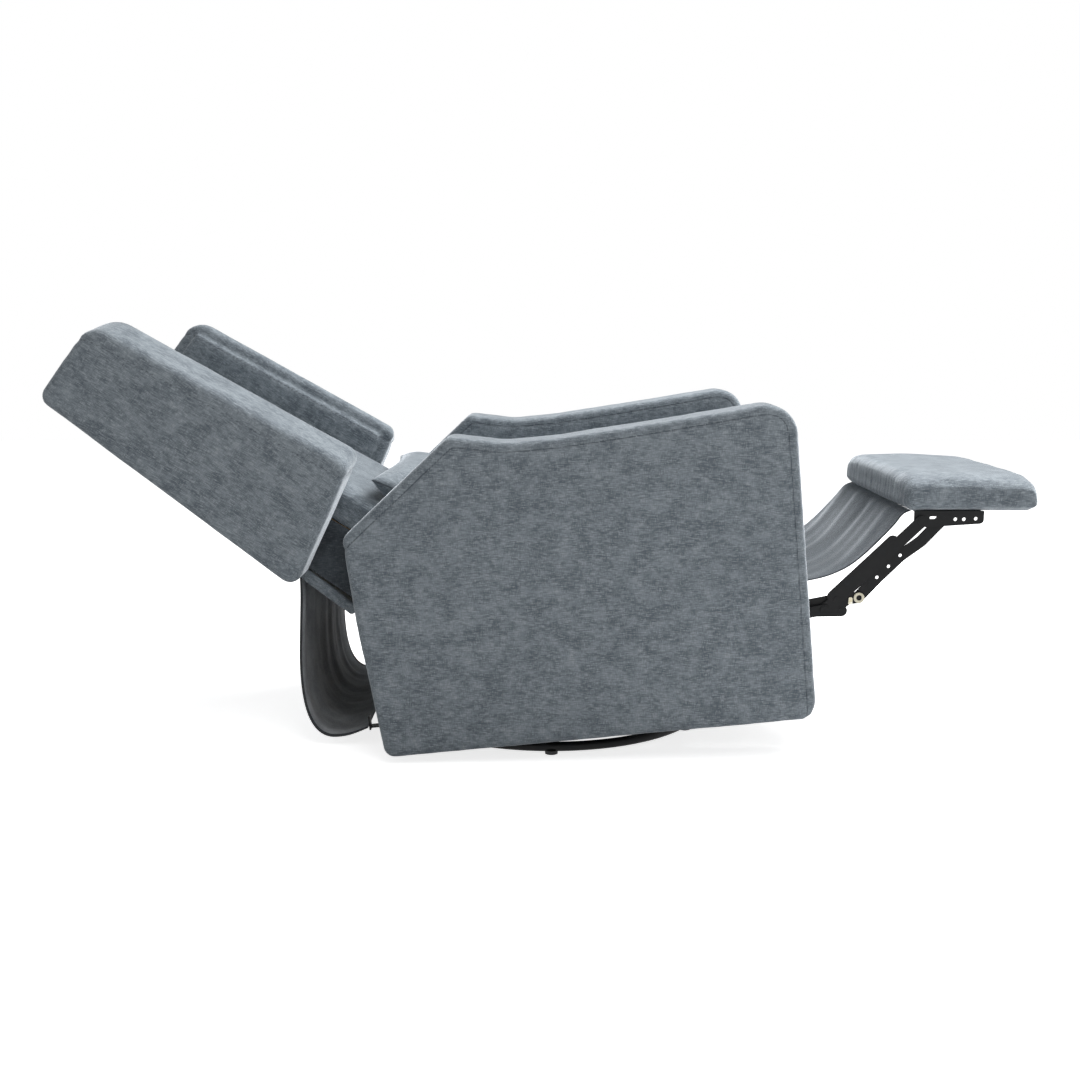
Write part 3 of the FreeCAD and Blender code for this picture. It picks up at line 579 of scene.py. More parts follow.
def link_mesh(name: str, mesh: bpy.types.Mesh) -> bpy.types.Object:
    """Puts a mesh in the scene as a new object.

    Args:
        name: Name of the mesh and the object.
        mesh: Finished mesh.

    Returns:
        The new object, at the origin.
    """
    mesh.name = name
    obj = bpy.data.objects.new(name, mesh)
    bpy.context.scene.collection.objects.link(obj)
    return obj


def mesh_of(name: str, points: Array, faces: Sequence[Sequence[int]]) -> bpy.types.Object:
    """Makes an object from points and faces.

    Args:
        name: Name of the object.
        points: Vertex places, as rows.
        faces: Corners of each face.

    Returns:
        The new object, at the origin.
    """
    mesh = bpy.data.meshes.new(name)
    mesh.from_pydata([tuple(p) for p in points], [], faces)
    return link_mesh(name, mesh)


def copy_solids(name: str, nodes: Sequence[str], side: Side | None = None) -> bpy.types.Object:
    """Joins merged copies of CAD solids as one new object.

    Args:
        name: Name of the new object.
        nodes: CAD nodes to copy.
        side: Half to keep of nodes that hold both, if only one is wanted.

    Returns:
        The new object, at the origin.
    """
    shape = bmesh.new()
    for node in nodes:
        shape.from_mesh(frame["nodes"][node].data)
    if side:
        other = [v for v in shape.verts if v.co.y * side.value < 0]
        bmesh.ops.delete(shape, geom=other, context="VERTS")
    bmesh.ops.remove_doubles(shape, verts=shape.verts, dist=WELD)
    mesh = bpy.data.meshes.new(name)
    shape.to_mesh(mesh)
    shape.free()
    return link_mesh(name, mesh)


def finish_with(obj: bpy.types.Object, kind: str, **settings: Any) -> None:
    """Adds a modifier and applies it.

    Args:
        obj: Object to change.
        kind: Blender's modifier type.
        **settings: Modifier properties.
    """
    activate(obj)
    modifier = obj.modifiers.new(kind.lower(), kind)
    for key, value in settings.items():
        setattr(modifier, key, value)
    bpy.ops.object.modifier_apply(modifier=modifier.name)


def noise_at(points: Array, size: float | Triple, seed: float) -> Array:
    """Smooth noise of about -1 to 1 at each point.

    Args:
        points: Places, as rows.
        size: Grain size in metres, one number or one for each axis.
        seed: Number that picks the pattern.

    Returns:
        One value for each point.
    """
    scaled = points / np.asarray(size) + seed * NOISE_STEP
    return np.array([noise.noise(Vector(p)) for p in scaled])


def distance_to(points: Array, path: Array, drop: int | None) -> Array:
    """Distance from points to an open line.

    Args:
        points: Places, as rows.
        path: The line's points, as rows.
        drop: Axis that is left out of the measure, if any.

    Returns:
        One distance for each point.
    """
    keep = [i for i in range(3) if i != drop]
    p, line = points[:, keep], path[:, keep]
    nearest = np.full(len(p), SEAM_FAR)
    for a, b in zip(line, line[1:]):
        along = b - a
        t = np.clip(((p - a) @ along) / max(along @ along, TINY), 0, 1)
        nearest = np.minimum(nearest, np.linalg.norm(p - a - t[:, None] * along, axis=1))
    return nearest


def rounded(path: Sequence[Sequence[float]], passes: int = 3) -> Array:
    """Rounds a line's corners by cutting them a few times, keeping its ends.

    Args:
        path: The line's points.
        passes: How often the corners are cut.

    Returns:
        The rounded line, as rows.
    """
    line = np.asarray(path, float)
    for _ in range(passes):
        a, b = line[:-1], line[1:]
        cut = np.stack([a * 0.75 + b * 0.25, a * 0.25 + b * 0.75], 1).reshape(-1, line.shape[1])
        line = np.vstack([line[:1], cut[1:-1], line[-1:]])
    return line


def smooth_step(values: Array, low: float, high: float) -> Array:
    """Goes smoothly from 0 at low to 1 at high."""
    t = np.clip((values - low) / (high - low), 0, 1)
    return t * t * (3 - 2 * t)


def store(obj: bpy.types.Object, name: str, values: Array) -> None:
    """Keeps one number for each vertex as an attribute of the mesh."""
    attribute = obj.data.attributes.get(name) or obj.data.attributes.new(name, "FLOAT", "POINT")
    attribute.data.foreach_set("value", values.astype(np.float32))


def swell(obj: bpy.types.Object, cap: float, hold: Array) -> None:
    """Swells a padded piece with a short cloth simulation.

    Args:
        obj: Piece to swell.
        cap: Furthest that any point moves.
        hold: Share of the move that each point keeps, from 0 to 1.
    """
    rest = points_of(obj)
    activate(obj)
    cloth = obj.modifiers.new("swell", "CLOTH")
    cloth.settings.use_pressure = True
    cloth.settings.uniform_pressure_force = CLOTH_PRESSURE
    cloth.settings.effector_weights.gravity = 0.0
    cloth.settings.bending_stiffness = CLOTH_BENDING
    cloth.point_cache.frame_start = 1
    cloth.point_cache.frame_end = CLOTH_FRAMES
    for number in range(1, CLOTH_FRAMES + 1):
        bpy.context.scene.frame_set(number)
    seen = obj.evaluated_get(bpy.context.evaluated_depsgraph_get())
    shift = points_of(seen) - rest
    size = np.linalg.norm(shift, axis=1, keepdims=True)
    shift *= np.minimum(1, cap / np.maximum(size, TINY)) * hold[:, None]
    obj.modifiers.remove(cloth)
    bpy.context.scene.frame_set(1)
    place_points(obj, rest + shift)


# Upholstery.


@dataclass(frozen=True)
class Seam:
    """A sewn line in millimetres.

    A path of two numbers to a point is a side view, and with drop=1 its seam shows on
    every face that it crosses.
    """

    path: tuple[tuple[float, ...], ...]
    drop: int | None = None

    def line(self) -> Array:
        """The seam's rounded line in metres."""
        path = [(p[0], 0.0, p[1]) if len(p) == 2 else p for p in self.path]
        return rounded(path) * MM


def side_seams(path: Sequence[Point], y: float) -> tuple[Seam, ...]:
    """The same sewn line on both sides of a cushion.

    Args:
        path: The line in side view, in millimetres.
        y: Its distance from the cushion's middle, in millimetres.

    Returns:
        The right-hand and the left-hand seam.
    """
    return tuple(Seam(tuple((x, side * y, z) for x, z in path)) for side in (-1, 1))


class Piece:
    """A piece of upholstery, which is built as a mesh and then dressed."""

    def build(self) -> bpy.types.Object:
        """Makes the piece's mesh and returns its object."""
        raise NotImplementedError

    def dress(self, obj: bpy.types.Object) -> None:
        """Gives the piece its cloth, its motion and its place in the frame."""
        raise NotImplementedError

    def make(self) -> None:
        """Builds, dresses and reports the piece."""
        obj = self.build()
        self.dress(obj)
        LOG.info("%s: %d faces", obj.name, len(obj.data.polygons))


@dataclass
class Cover(Piece):
    """A padded piece: its solid remeshed, softened, swollen, then sewn and dressed.

    The nodes are the solids that it is made from, the cores are boards that its cloth also
    hides, ease is how often its edges are smoothed, divide how often its faces are, and cap
    the furthest that it swells.
    """

    name: str
    nodes: tuple[str, ...]
    body: str
    finish: Finish = SEAT_CLOTH
    voxel: float = 5.0 * MM
    ease: int = 6
    divide: int = 0
    cap: float = 0.0
    fill: float = 0.75
    seams: tuple[Seam, ...] = ()
    seam_depth: float = 1.8 * MM
    seam_width: float = 6.0 * MM
    pucker: float = 0.9 * MM
    pucker_size: float = 0.02
    pucker_width: float = 18.0 * MM
    ripple: float = 0.7 * MM
    ripple_size: float = 0.09
    fine_share: float = 0.35
    fine_size: float = 0.035
    seed: float = 1.0
    cores: tuple[str, ...] = ()
    side: Side | None = None

    def hold(self, points: Array) -> Array:
        """Share of the swelling that each point keeps."""
        return np.ones(len(points))

    def form(self, points: Array, normals: Array) -> Array:
        """Extra shape of this piece, as one shift for each point."""
        return np.zeros_like(points)

    def sew(self, obj: bpy.types.Object) -> None:
        """Sinks and puckers the seams, ripples the cloth and adds the piece's own shape.

        Args:
            obj: The softened piece.
        """
        points, normals = points_of(obj), normals_of(obj)
        near = np.full(len(points), SEAM_FAR)
        for seam in self.seams:
            near = np.minimum(near, distance_to(points, seam.line(), seam.drop))
        depth = -self.seam_depth * np.exp(-((near / self.seam_width) ** 2))
        folds = self.pucker * noise_at(points, self.pucker_size, self.seed + 3)
        depth += folds * np.exp(-((near / self.pucker_width) ** 2))
        depth += self.ripple * noise_at(points, self.ripple_size, self.seed)
        depth += self.fine_share * self.ripple * noise_at(points, self.fine_size, self.seed + 1)
        place_points(obj, points + normals * depth[:, None] + self.form(points, normals))
        store(obj, "seam", near)

    def build(self) -> bpy.types.Object:
        """Makes the piece's mesh.

        Returns:
            The object, at the origin.
        """
        obj = copy_solids(self.name, self.nodes + self.cores, self.side)
        finish_with(obj, "REMESH", mode="VOXEL", voxel_size=self.voxel, use_smooth_shade=True)
        finish_with(obj, "SMOOTH", factor=0.5, iterations=self.ease)
        if self.cap:
            swell(obj, self.cap, self.hold(points_of(obj)))
        if self.divide:
            finish_with(obj, "SUBSURF", levels=self.divide, render_levels=self.divide)
        self.sew(obj)
        obj.data.shade_smooth()
        return obj

    def dress(self, obj: bpy.types.Object) -> None:
        """Gives the piece its cloth, its body and its place in the frame.

        Args:
            obj: The piece's object.
        """
        obj.data.materials.clear()
        obj.data.materials.append(self.finish.make())
        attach(obj, self.body)
        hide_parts(*self.nodes, *self.cores)


@dataclass
class Slab(Cover):
    """An upright padded slab, whose cloth also runs over the board in its inner face."""

    inner: float = 0.270
    lining: float = 1.2 * MM
    blend: float = 8.0 * MM

    def form(self, points: Array, normals: Array) -> Array:
        """Lays the cloth of the inner face over the board.

        Args:
            points: Vertex places, as rows.
            normals: Vertex normals, as rows; not used.

        Returns:
            One shift for each point.
        """
        shift = np.zeros_like(points)
        face = 1 - smooth_step(np.abs(points[:, 1]), self.inner, self.inner + self.blend)
        shift[:, 1] = -np.sign(points[:, 1]) * self.lining * face
        return shift


@dataclass
class Arms:
    """Slab arms: flat side panels joined by a strip over the top and down the front.

    The strip's seam is drawn in millimetres on the level arm, from its rear lower corner.
    """

    strip_seam: tuple[Point, ...] = (
        (771, -40), (771, 300), (771, 490), (770, 534), (757, 553), (732, 560), (690, 556),
        (530, 544), (371, 535),
        (275, 535), (225, 544), (183, 555), (170, 545), (-60, 366))
    tilt_deg: float = 5.47
    corner: Point = (-303.0, 11.0)
    voxel: float = 5.0 * MM
    ease: int = 4
    fill: float = 0.9
    seed: float = 4.0

    def tilted(self, point: Point) -> Point:
        """Turns a point of the level arm, in millimetres, to where it stands at rest.

        Args:
            point: Place on the level arm.

        Returns:
            Place on the chair as the photograph shows it.
        """
        a = math.radians(self.tilt_deg)
        x = point[0] * math.cos(a) - point[1] * math.sin(a) + self.corner[0]
        z = point[0] * math.sin(a) + point[1] * math.cos(a) + self.corner[1]
        return (x, z)

    def pieces(self) -> list[Slab]:
        """Sizes up the covers of both arms.

        Returns:
            One cover for each side.
        """
        seam = Seam(tuple(self.tilted(p) for p in self.strip_seam), drop=1)
        return [Slab(f"{side.word}_arm", (f"{side.word}_arm_cover",), "carriage",
                     voxel=self.voxel, ease=self.ease, seams=(seam,), fill=self.fill,
                     seed=self.seed + side.value, cores=(f"{side.word}_arm_frame",))
                for side in Side]


@dataclass
class Wing(Slab):
    """A padded wing, whose front face falls away to the outside."""

    fall: float = 17.0 * MM
    crest: Point = (-0.791, 0.812)
    out: Point = (0.489, 0.872)
    fall_from: float = 0.285
    fall_to: float = 0.385
    depth: float = 110.0 * MM

    def form(self, points: Array, normals: Array) -> Array:
        """Lowers the front face towards its outer edge.

        Args:
            points: Vertex places, as rows.
            normals: Vertex normals, as rows.

        Returns:
            One shift for each point.
        """
        across = smooth_step(np.abs(points[:, 1]), self.fall_from, self.fall_to)
        inside = ((self.crest[0] - points[:, 0]) * self.out[0]
                  + (self.crest[1] - points[:, 2]) * self.out[1])
        amount = -self.fall * across * (1 - smooth_step(inside, 0, self.depth))
        lowered = amount[:, None] * np.array([self.out[0], 0.0, self.out[1]])
        return lowered + super().form(points, normals)


@dataclass
class Cushion(Cover):
    """A cushion whose underside keeps its shape where it rests on its frame.

    Heights are measured along up.  Nothing swells below level, and the swelling is whole
    from soften above it.
    """

    up: Triple = (0.0, 0.0, 1.0)
    level: float = 0.0
    soften: float = 30.0 * MM

    def hold(self, points: Array) -> Array:
        """Nothing moves at the underside, all of it above."""
        height = points @ np.asarray(self.up)
        return smooth_step(height, self.level, self.level + self.soften)


@dataclass
class FootPad(Cushion):
    """The footrest's pad: its cloth is gathered over a round rear roll."""

    gather: float = 1.4 * MM
    gather_size: Triple = (0.06, 0.014, 0.05)
    rear: float = 0.655
    roll: float = 0.05
    corner: Point = (0.20, 0.255)
    half: float = 0.262
    crown: float = 9.0 * MM
    crown_rise: float = 40.0 * MM
    reach: float = 14.0 * MM
    toe: Point = (0.80, 0.90)

    def form(self, points: Array, normals: Array) -> Array:
        """Crowns the top, fills out the toe, and gathers the rear roll and its corners.

        Args:
            points: Vertex places, as rows.
            normals: Vertex normals, as rows.

        Returns:
            One shift for each point.
        """
        x, y, z = points.T
        near = np.exp(-(((x - self.rear) / self.roll) ** 2))
        folds = noise_at(points, self.gather_size, self.seed + 5)
        folds = folds * (0.5 + smooth_step(np.abs(y), *self.corner)) * near
        shift = normals * (self.gather * folds)[:, None]
        high = smooth_step(z, self.level, self.level + self.crown_rise)
        shift[:, 2] += self.crown * high * (1 - np.abs(y / self.half) ** 6).clip(0, 1)
        shift[:, 0] += self.reach * smooth_step(x, *self.toe)
        return shift


@dataclass
class Pillow(Piece):
    """Loose lumbar pillow: full in the middle, with pointed corners and drawn-in sides."""

    at: Triple = (-0.2351, 0.0, 0.4638)
    slope_deg: float = 24.0
    half_w: float = 0.249
    half_h: float = 0.109
    half_t: float = 0.052
    drawn: float = 0.014
    crumple: float = 2.5 * MM
    crumple_size: Triple = (0.05, 0.05, 0.2)
    pleat: float = 2.0 * MM
    pleat_size: Triple = (0.018, 0.04, 0.1)
    rim_weld: float = 0.5 * MM
    steps: tuple[int, int] = (150, 84)

    def surface(self, face: int) -> Array:
        """Shapes one face of the pillow in its own frame.

        Args:
            face: 1 for the upper face, -1 for the lower one.

        Returns:
            A grid of points, as rows.
        """
        u, v = np.meshgrid(np.linspace(-1, 1, self.steps[0]), np.linspace(-1, 1, self.steps[1]),
                           indexing="ij")
        full = np.clip((1 - np.abs(u) ** 3) * (1 - np.abs(v) ** 3), 0, 1) ** 0.55
        across = u * (self.half_w - self.drawn * (1 - v ** 2) * np.abs(u))
        up = v * (self.half_h - self.drawn * (1 - u ** 2) * np.abs(v))
        grid = np.stack([up, across, face * self.half_t * full], -1).reshape(-1, 3)
        corner = (np.abs(u) ** 4 * np.abs(v) ** 4).ravel()
        edge = np.maximum(np.abs(u), np.abs(v)).ravel()
        crumple = self.crumple * noise_at(grid, self.crumple_size, 31.0 + face)
        pleats = self.pleat * noise_at(grid, self.pleat_size, 35.0 + face) * edge ** 3
        grid[:, 2] += face * (crumple + pleats) * (1 - edge ** 8) * (1 - 0.5 * corner)
        return grid

    def build(self) -> bpy.types.Object:
        """Makes the two faces, sewn at the rim.

        Returns:
            The pillow's object, where it lies.
        """
        across, up = self.steps
        points, faces = [], []
        for face in (1, -1):
            start = len(points)
            points.extend(self.surface(face))
            for i in range(across - 1):
                for j in range(up - 1):
                    a = start + i * up + j
                    ring = [a, a + up, a + up + 1, a + 1]
                    faces.append(ring if face < 0 else ring[::-1])
        obj = mesh_of("pillow", points, faces)
        shape = bmesh.new()
        shape.from_mesh(obj.data)
        bmesh.ops.remove_doubles(shape, verts=shape.verts, dist=self.rim_weld)
        bmesh.ops.recalc_face_normals(shape, faces=shape.faces)
        shape.to_mesh(obj.data)
        shape.free()
        place_points(obj, self.placed(points_of(obj)))
        return obj

    def placed(self, points: Array) -> Array:
        """Turns and moves points from the pillow's own frame to where it lies.

        Args:
            points: Places in the pillow's frame, as rows.

        Returns:
            Places on the chair, as rows.
        """
        a = math.radians(self.slope_deg)
        up, out = points[:, 0], points[:, 2]
        x = -up * math.cos(a) + out * math.sin(a) + self.at[0]
        z = up * math.sin(a) + out * math.cos(a) + self.at[2]
        return np.stack([x, points[:, 1] + self.at[1], z], -1)

    def dress(self, obj: bpy.types.Object) -> None:
        """Marks the rim seam and gives the pillow its cloth, body and place.

        Args:
            obj: The pillow's object.
        """
        a = math.radians(self.slope_deg)
        from_middle = points_of(obj) - np.asarray(self.at)
        out = np.abs(from_middle[:, 0] * math.sin(a) + from_middle[:, 2] * math.cos(a))
        store(obj, "seam", out)
        obj.data.shade_smooth()
        obj.data.materials.append(PILLOW_CLOTH.make())
        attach(obj, "pillow")
        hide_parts("lumbar_pillow")


@dataclass
class Flap(Piece):
    """Loose cloth between two moving frames, with soft folds and bound side edges.

    The path is its side view in millimetres, from its upper edge to its lower one.  Each
    wave is a fold's width, phase and share of the fold's depth, and slant leads the folds
    sideways on their way down.
    """

    name: str
    node: str
    path: tuple[Point, ...]
    half: float
    fold: float
    waves: tuple[Triple, ...]
    flat: Point
    finish: Finish
    slot: str
    rests_on: tuple[str, ...]
    motion: Callable[[bpy.types.Object], None]
    slant: float = 0.0
    free: Point = (0.1, 0.85)
    wander: float = 0.6
    wander_size: Triple = (0.05, 0.16, 1)
    wander_length: float = 0.3
    thick: float = 2.0 * MM
    columns: int = 150
    rows: int = 84

    def rails(self) -> tuple[Array, Array]:
        """Follows the side view in even steps.

        Returns:
            Points down the path, and the sheet's normal at each.
        """
        line = rounded([(p[0], 0.0, p[1]) for p in self.path], 4) * MM
        run = np.concatenate([[0], np.cumsum(np.linalg.norm(np.diff(line, axis=0), axis=1))])
        even = np.linspace(0, run[-1], self.rows)
        at = np.stack([np.interp(even, run, line[:, i]) for i in range(3)], -1)
        along = np.gradient(at, axis=0)
        along /= np.linalg.norm(along, axis=1, keepdims=True)
        out = np.stack([-along[:, 2], along[:, 1], along[:, 0]], -1)
        LOG.info("%s: path %.4f m", self.name, run[-1])
        return at, out

    def folds(self, ys: Array, vs: Array) -> Array:
        """Depth of the folds, which die out towards both held edges.

        Args:
            ys: Place across the sheet of each point.
            vs: Share of the path down to each point.

        Returns:
            Distance of each point from the plain sheet.
        """
        depth = np.zeros_like(ys)
        for width, phase, share in self.waves:
            depth += share * np.sin((ys + self.slant * vs) / width * 2 * math.pi + phase)
        plain = np.stack([ys, vs * self.wander_length, ys * 0], -1).reshape(-1, 3)
        depth += self.wander * noise_at(plain, self.wander_size, 41.0).reshape(ys.shape)
        loose = smooth_step(vs, 0, self.free[0]) * (1 - smooth_step(vs, self.free[1], 1))
        return depth * self.fold * loose

    def build(self) -> bpy.types.Object:
        """Makes the folded sheet.

        Returns:
            The flap's object.
        """
        at, out = self.rails()
        ys, vs = np.meshgrid(np.linspace(-self.half, self.half, self.columns),
                             np.linspace(0, 1, self.rows))
        points = at[:, None, :] + out[:, None, :] * self.folds(ys, vs)[..., None]
        points[..., 1] = ys
        faces = []
        for i in range(self.rows - 1):
            for j in range(self.columns - 1):
                a = i * self.columns + j
                faces.append((a, a + 1, a + self.columns + 1, a + self.columns))
        obj = mesh_of(self.name, points.reshape(-1, 3), faces)
        store(obj, "seam", (self.half - np.abs(ys)).ravel())
        finish_with(obj, "SOLIDIFY", thickness=self.thick, offset=0.0)
        obj.data.shade_smooth()
        return obj

    def dress(self, obj: bpy.types.Object) -> None:
        """Gives the flap its cloth and hands it to its motion function.

        Args:
            obj: The flap's object.
        """
        obj.data.materials.append(self.finish.make())
        self.motion(obj)
        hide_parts(self.node)


@dataclass
class Seat:
    """The seat: a raked, crowned cushion, rolled over at the front, and a padded rail.

    Its side seams are in millimetres.  The cushion is held up to a plane at its rake, which
    lies above a point under its front.
    """

    rake_deg: float = 7.0
    under_front: Point = (0.352, 0.372)
    held_height: float = 0.056
    cap: float = 6.0 * MM
    seam: tuple[Point, ...] = ((-181, 396), (120, 475), (277, 489), (418, 502), (440, 440))
    seam_y: float = 236.0

    def cushion(self) -> Cushion:
        """Sizes up the seat's cushion.

        Returns:
            The cushion, ready to be made.
        """
        a = math.radians(self.rake_deg)
        up = (-math.sin(a), 0.0, math.cos(a))
        level = self.under_front[0] * up[0] + self.under_front[1] * up[2] + self.held_height
        return Cushion("seat", ("seat_cushion",), "carriage", voxel=6 * MM, ease=5, divide=1,
                       cap=self.cap, seams=side_seams(self.seam, self.seam_y), fill=0.7, up=up,
                       level=level, seed=15.0)

    def front_rail(self) -> Cover:
        """The padded rail under the seat's front."""
        return Cover("front_rail", ("seat_front_rail",), "carriage", voxel=4 * MM, ease=4,
                     fill=0.6, seed=27.0)


def follow_back(obj: bpy.types.Object) -> None:
    """Bakes the flap's placement into its mesh."""
    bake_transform(obj)


@dataclass
class Back:
    """The back: two wings, a padded front, a rear panel, the neck's skins and a dust flap.

    The wings' seam is in millimetres.  The padded front is held up to a plane at the back's
    slope, which lies behind a point above its face.
    """

    wing_seam: tuple[Point, ...] = (
        (-852, 742), (-836, 764), (-812, 778), (-786, 772), (-700, 725), (-556, 644),
        (-372, 541), (-330, 518))
    wing_voxel: float = 4.5 * MM
    wing_inner: float = 0.275
    slope_deg: float = 31.0
    before_face: Point = (-0.190, 0.466)
    held_depth: float = 0.134
    cap: float = 5.0 * MM

    def wings(self) -> list[Wing]:
        """Sizes up the covers of both wings.

        Returns:
            One cover for each side.
        """
        seam = Seam(self.wing_seam, drop=1)
        return [Wing(f"{side.word}_wing", (f"{side.word}_wing_cover",), "back",
                     finish=BACK_CLOTH, voxel=self.wing_voxel, ease=6, seams=(seam,), fill=0.8,
                     seed=9.0 + side.value, cores=("wing_frames",), side=side,
                     inner=self.wing_inner)
                for side in Side]

    def pad(self) -> Cushion:
        """Sizes up the back's padded front.

        Returns:
            The cushion, ready to be made.
        """
        a = math.radians(self.slope_deg)
        up = (math.sin(a), 0.0, math.cos(a))
        level = self.before_face[0] * up[0] + self.before_face[1] * up[2] - self.held_depth
        return Cushion("back_pad", ("back_cushion",), "back", finish=BACK_CLOTH, voxel=7 * MM,
                       ease=5, divide=1, cap=self.cap, fill=0.7, up=up, level=level, seed=17.0)

    def shell(self) -> Cover:
        """The rear panel, a tight skin over the back's boards."""
        return Cover("back_shell", ("back_rear_panel",), "back", finish=BACK_CLOTH,
                     voxel=4.5 * MM, ease=2, fill=0.3, seed=25.0)

    def neck_sides(self) -> Cover:
        """Skins over the sides of the neck, in the darker copy of the chenille: painted shade for
        the neck's recess under the wings.
        """
        return Cover("neck_sides", ("neck_covers",), "back", finish=SHADED_CHENILLE,
                     voxel=2.5 * MM, ease=1, fill=0.3, ripple=0.4 * MM, seed=26.0)

    def flap(self) -> Flap:
        """Cuts the dust-cloth curtain from the back's lower edge to the rear rail.

        Returns:
            The flap, ready to be made.
        """
        return Flap(
            "rear_curtain", "rear_flap",
            path=((-469, 330), (-469, 302), (-471, 248), (-475, 140), (-464, 58), (-434, 18),
                  (-388, 20), (-348.8, 36)),
            half=0.262, fold=5.0 * MM,
            waves=((0.083, 0.4, 0.5), (0.131, 1.7, 0.4), (0.047, 2.2, 0.22)),
            flat=(0.535, 0.410), finish=DUST_CLOTH, slot="dark_lining",
            rests_on=("back_rear_panel", "rear_rail"), motion=follow_back)


def fold_in(obj: bpy.types.Object) -> None:
    """Attaches the flap to the carriage and gives it a mesh of its own.

    Args:
        obj: The flap's object.
    """
    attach(obj, "carriage")
    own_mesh(obj)


@dataclass
class Footrest:
    """The footrest: a pad with lower side seams, and the flap that joins it to the seat."""

    seam: tuple[Point, ...] = ((662, 463), (700, 459), (780, 458), (880, 458), (893, 466))
    seam_y: float = 259.0
    level: float = 0.456
    cap: float = 4.0 * MM

    def pad(self) -> FootPad:
        """Sizes up the footrest's pad, with its board inside.

        Returns:
            The pad, ready to be made.
        """
        return FootPad("foot_pad", ("footrest_pad",), "footrest", voxel=4.5 * MM, ease=4,
                       divide=1, cap=self.cap, seams=side_seams(self.seam, self.seam_y),
                       fill=0.7, level=self.level, soften=20 * MM, seed=21.0,
                       cores=("footrest_board",))

    def flap(self) -> Flap:
        """Cuts the cover-cloth flap from under the seat's front to the footrest.

        Returns:
            The flap, ready to be made.
        """
        return Flap(
            "footrest_curtain", "footrest_flap",
            path=((673, 449.5), (656, 444), (636, 418), (575, 352), (528, 326), (485, 314),
                  (425, 305), (351, 300)),
            half=0.236, fold=3.2 * MM,
            waves=((0.12, 0.2, 0.5), (0.19, 2.1, 0.4), (0.06, 0.9, 0.18)),
            # The darker chenille copy is painted shade on this flap under the seat's front.
            flat=(0.480, 0.374), finish=SHADED_CHENILLE, slot="blue_fabric",
            rests_on=("footrest_board", "flap_board"), motion=fold_in, slant=0.12)


# Frame parts and studio.


class FrameParts:
    """CAD solids that show: steelwork, boards, springs and feet."""

    def dress(self) -> None:
        """Gives each CAD node the finish of its material slot."""
        slots = {row["node"]: row["material_slot"] for row in frame["record"]["subparts"]}
        for name, obj in frame["nodes"].items():
            material = CAD_FINISHES[slots[name]].make()
            for place in obj.material_slots:
                place.material = material
            if not obj.material_slots:
                obj.data.materials.append(material)
            LOG.info("%s: %s", name, material.name)


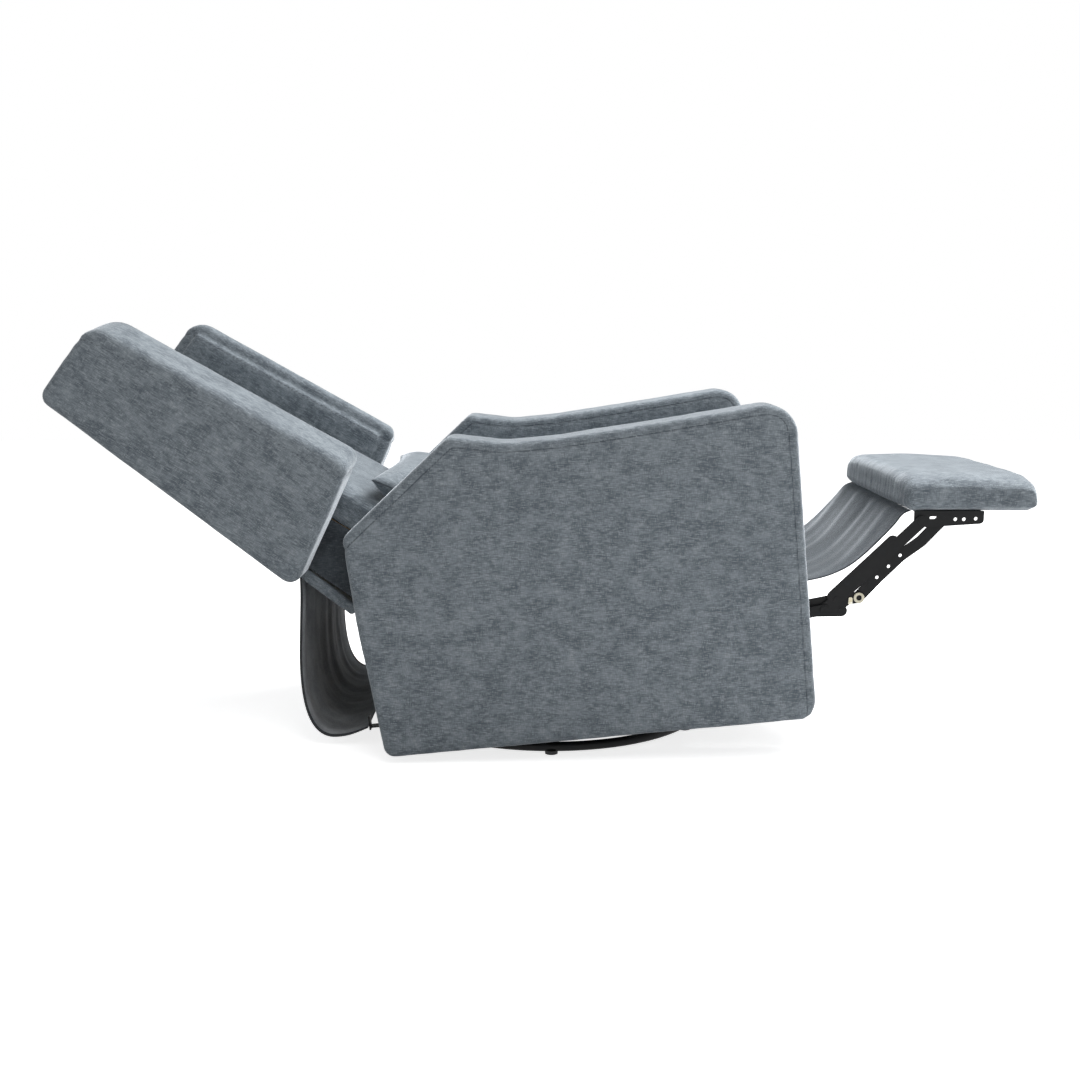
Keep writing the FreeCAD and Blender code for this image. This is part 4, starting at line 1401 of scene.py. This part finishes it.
@dataclass
class Studio:
    """Pale floor, white backdrop, soft lamps and the photograph's viewpoint."""

    eye: Triple = (-0.012, -2.65, 0.772)
    pitch_deg: float = 8.92
    lens_mm: float = 43.33
    sensor_mm: float = 36.0
    shift: float = -0.0046
    aim: Triple = (0.0, 0.0, 0.4)
    sky_fill: float = 0.32
    floor_size: float = 14.0
    floor_sunk: float = 0.5 * MM
    floor_glow: float = 0.78
    white: str = "#FFFFFF"
    card: str = "#E6E6E6"

    def camera(self) -> None:
        """Places the camera where the photograph was taken from."""
        data = bpy.data.cameras.new("camera")
        data.lens = self.lens_mm
        data.sensor_width = self.sensor_mm
        data.shift_x = self.shift
        camera = bpy.data.objects.new("camera", data)
        camera.location = self.eye
        camera.rotation_euler = (math.radians(90 - self.pitch_deg), 0.0, 0.0)
        bpy.context.scene.collection.objects.link(camera)
        bpy.context.scene.camera = camera

    def lamp(self, name: str, at: Triple, size: float, power: float) -> None:
        """Adds a square soft lamp that faces the chair.

        Args:
            name: Lamp's name.
            at: Place in metres.
            size: Side in metres.
            power: Watts.
        """
        data = bpy.data.lights.new(name, "AREA")
        data.shape = "SQUARE"
        data.size = size
        data.energy = power
        lamp = bpy.data.objects.new(name, data)
        lamp.location = at
        aim = Vector(self.aim) - Vector(at)
        lamp.rotation_euler = aim.to_track_quat("-Z", "Y").to_euler()
        bpy.context.scene.collection.objects.link(lamp)

    def lamps(self) -> None:
        """Hangs the lamps: a large one overhead and a weaker one high in front."""
        self.lamp("overhead", (1.7, 0.9, 2.8), 2.4, 200.0)
        self.lamp("front", (0.7, -2.6, 3.2), 1.6, 38.0)

    def seen_by(self, tree: Tree, rays: Sequence[str]) -> Socket:
        """Tells whether the camera, gloss or glass sees a surface.

        Args:
            tree: Node tree.
            rays: Ray kinds that count, by their socket names.

        Returns:
            Socket that is 1 for those rays and 0 for the light itself.
        """
        path = add_node(tree, "LightPath")
        seen = path.outputs[rays[0]]
        for ray in rays[1:]:
            seen = add_node(tree, "Math", {"operation": "MAXIMUM"},
                            {0: seen, 1: path.outputs[ray]}).outputs[0]
        return seen

    def world(self) -> None:
        """Even sky, and white where the camera, gloss or glass sees it."""
        world = bpy.data.worlds.new("studio")
        world.use_nodes = True
        tree = world.node_tree
        tree.nodes.clear()
        seen = self.seen_by(tree, ("Is Camera Ray", "Is Glossy Ray", "Is Transmission Ray"))
        colour = {"Color": linear(self.white)}
        fill = add_node(tree, "Background", {**colour, "Strength": self.sky_fill})
        white = add_node(tree, "Background", {**colour, "Strength": 1.0})
        both = add_node(tree, "MixShader",
                        links={0: seen, 1: fill.outputs[0], 2: white.outputs[0]})
        add_node(tree, "OutputWorld", links={"Surface": both.outputs[0]})
        bpy.context.scene.world = world

    def floor(self) -> None:
        """Lays the floor: pale card that looks white where the light reaches it."""
        bpy.ops.object.select_all(action="DESELECT")
        bpy.ops.mesh.primitive_plane_add(size=self.floor_size, location=(0, 0, -self.floor_sunk))
        floor = bpy.context.object
        floor.name = "floor"
        material = bpy.data.materials.new("pale_card")
        material.use_nodes = True
        tree = material.node_tree
        tree.nodes.clear()
        seen = self.seen_by(tree, ("Is Camera Ray", "Is Glossy Ray"))
        glow = add_node(tree, "Math", {"operation": "MULTIPLY", 1: self.floor_glow}, {0: seen})
        settings = {"Base Color": linear(self.card), "Roughness": 0.9,
                    "Specular IOR Level": 0.1, "Emission Color": linear(self.white)}
        card = add_node(tree, "BsdfPrincipled", settings, {"Emission Strength": glow.outputs[0]})
        add_node(tree, "OutputMaterial", links={"Surface": card.outputs[0]})
        floor.data.materials.append(material)

    def build(self) -> None:
        """Sets up everything that is not the chair."""
        self.camera()
        self.lamps()
        self.world()
        self.floor()
        bpy.context.scene.view_settings.view_transform = "Standard"


def write_sizes() -> None:
    """Brings the scene's placements up to date."""
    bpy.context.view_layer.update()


def main() -> None:
    """Builds the studio, dresses the frame and makes each piece of upholstery in turn."""
    logging.basicConfig(level=logging.INFO, format="%(name)s: %(message)s")
    Studio().build()
    FrameParts().dress()
    seat, back, footrest = Seat(), Back(), Footrest()
    pieces = (*Arms().pieces(), *back.wings(), seat.cushion(), back.pad(), footrest.pad(),
              back.shell(), back.neck_sides(), seat.front_rail(), Pillow(), back.flap(),
              footrest.flap())
    for piece in pieces:
        piece.make()
    write_sizes()


if __name__ == "__main__":
    main()
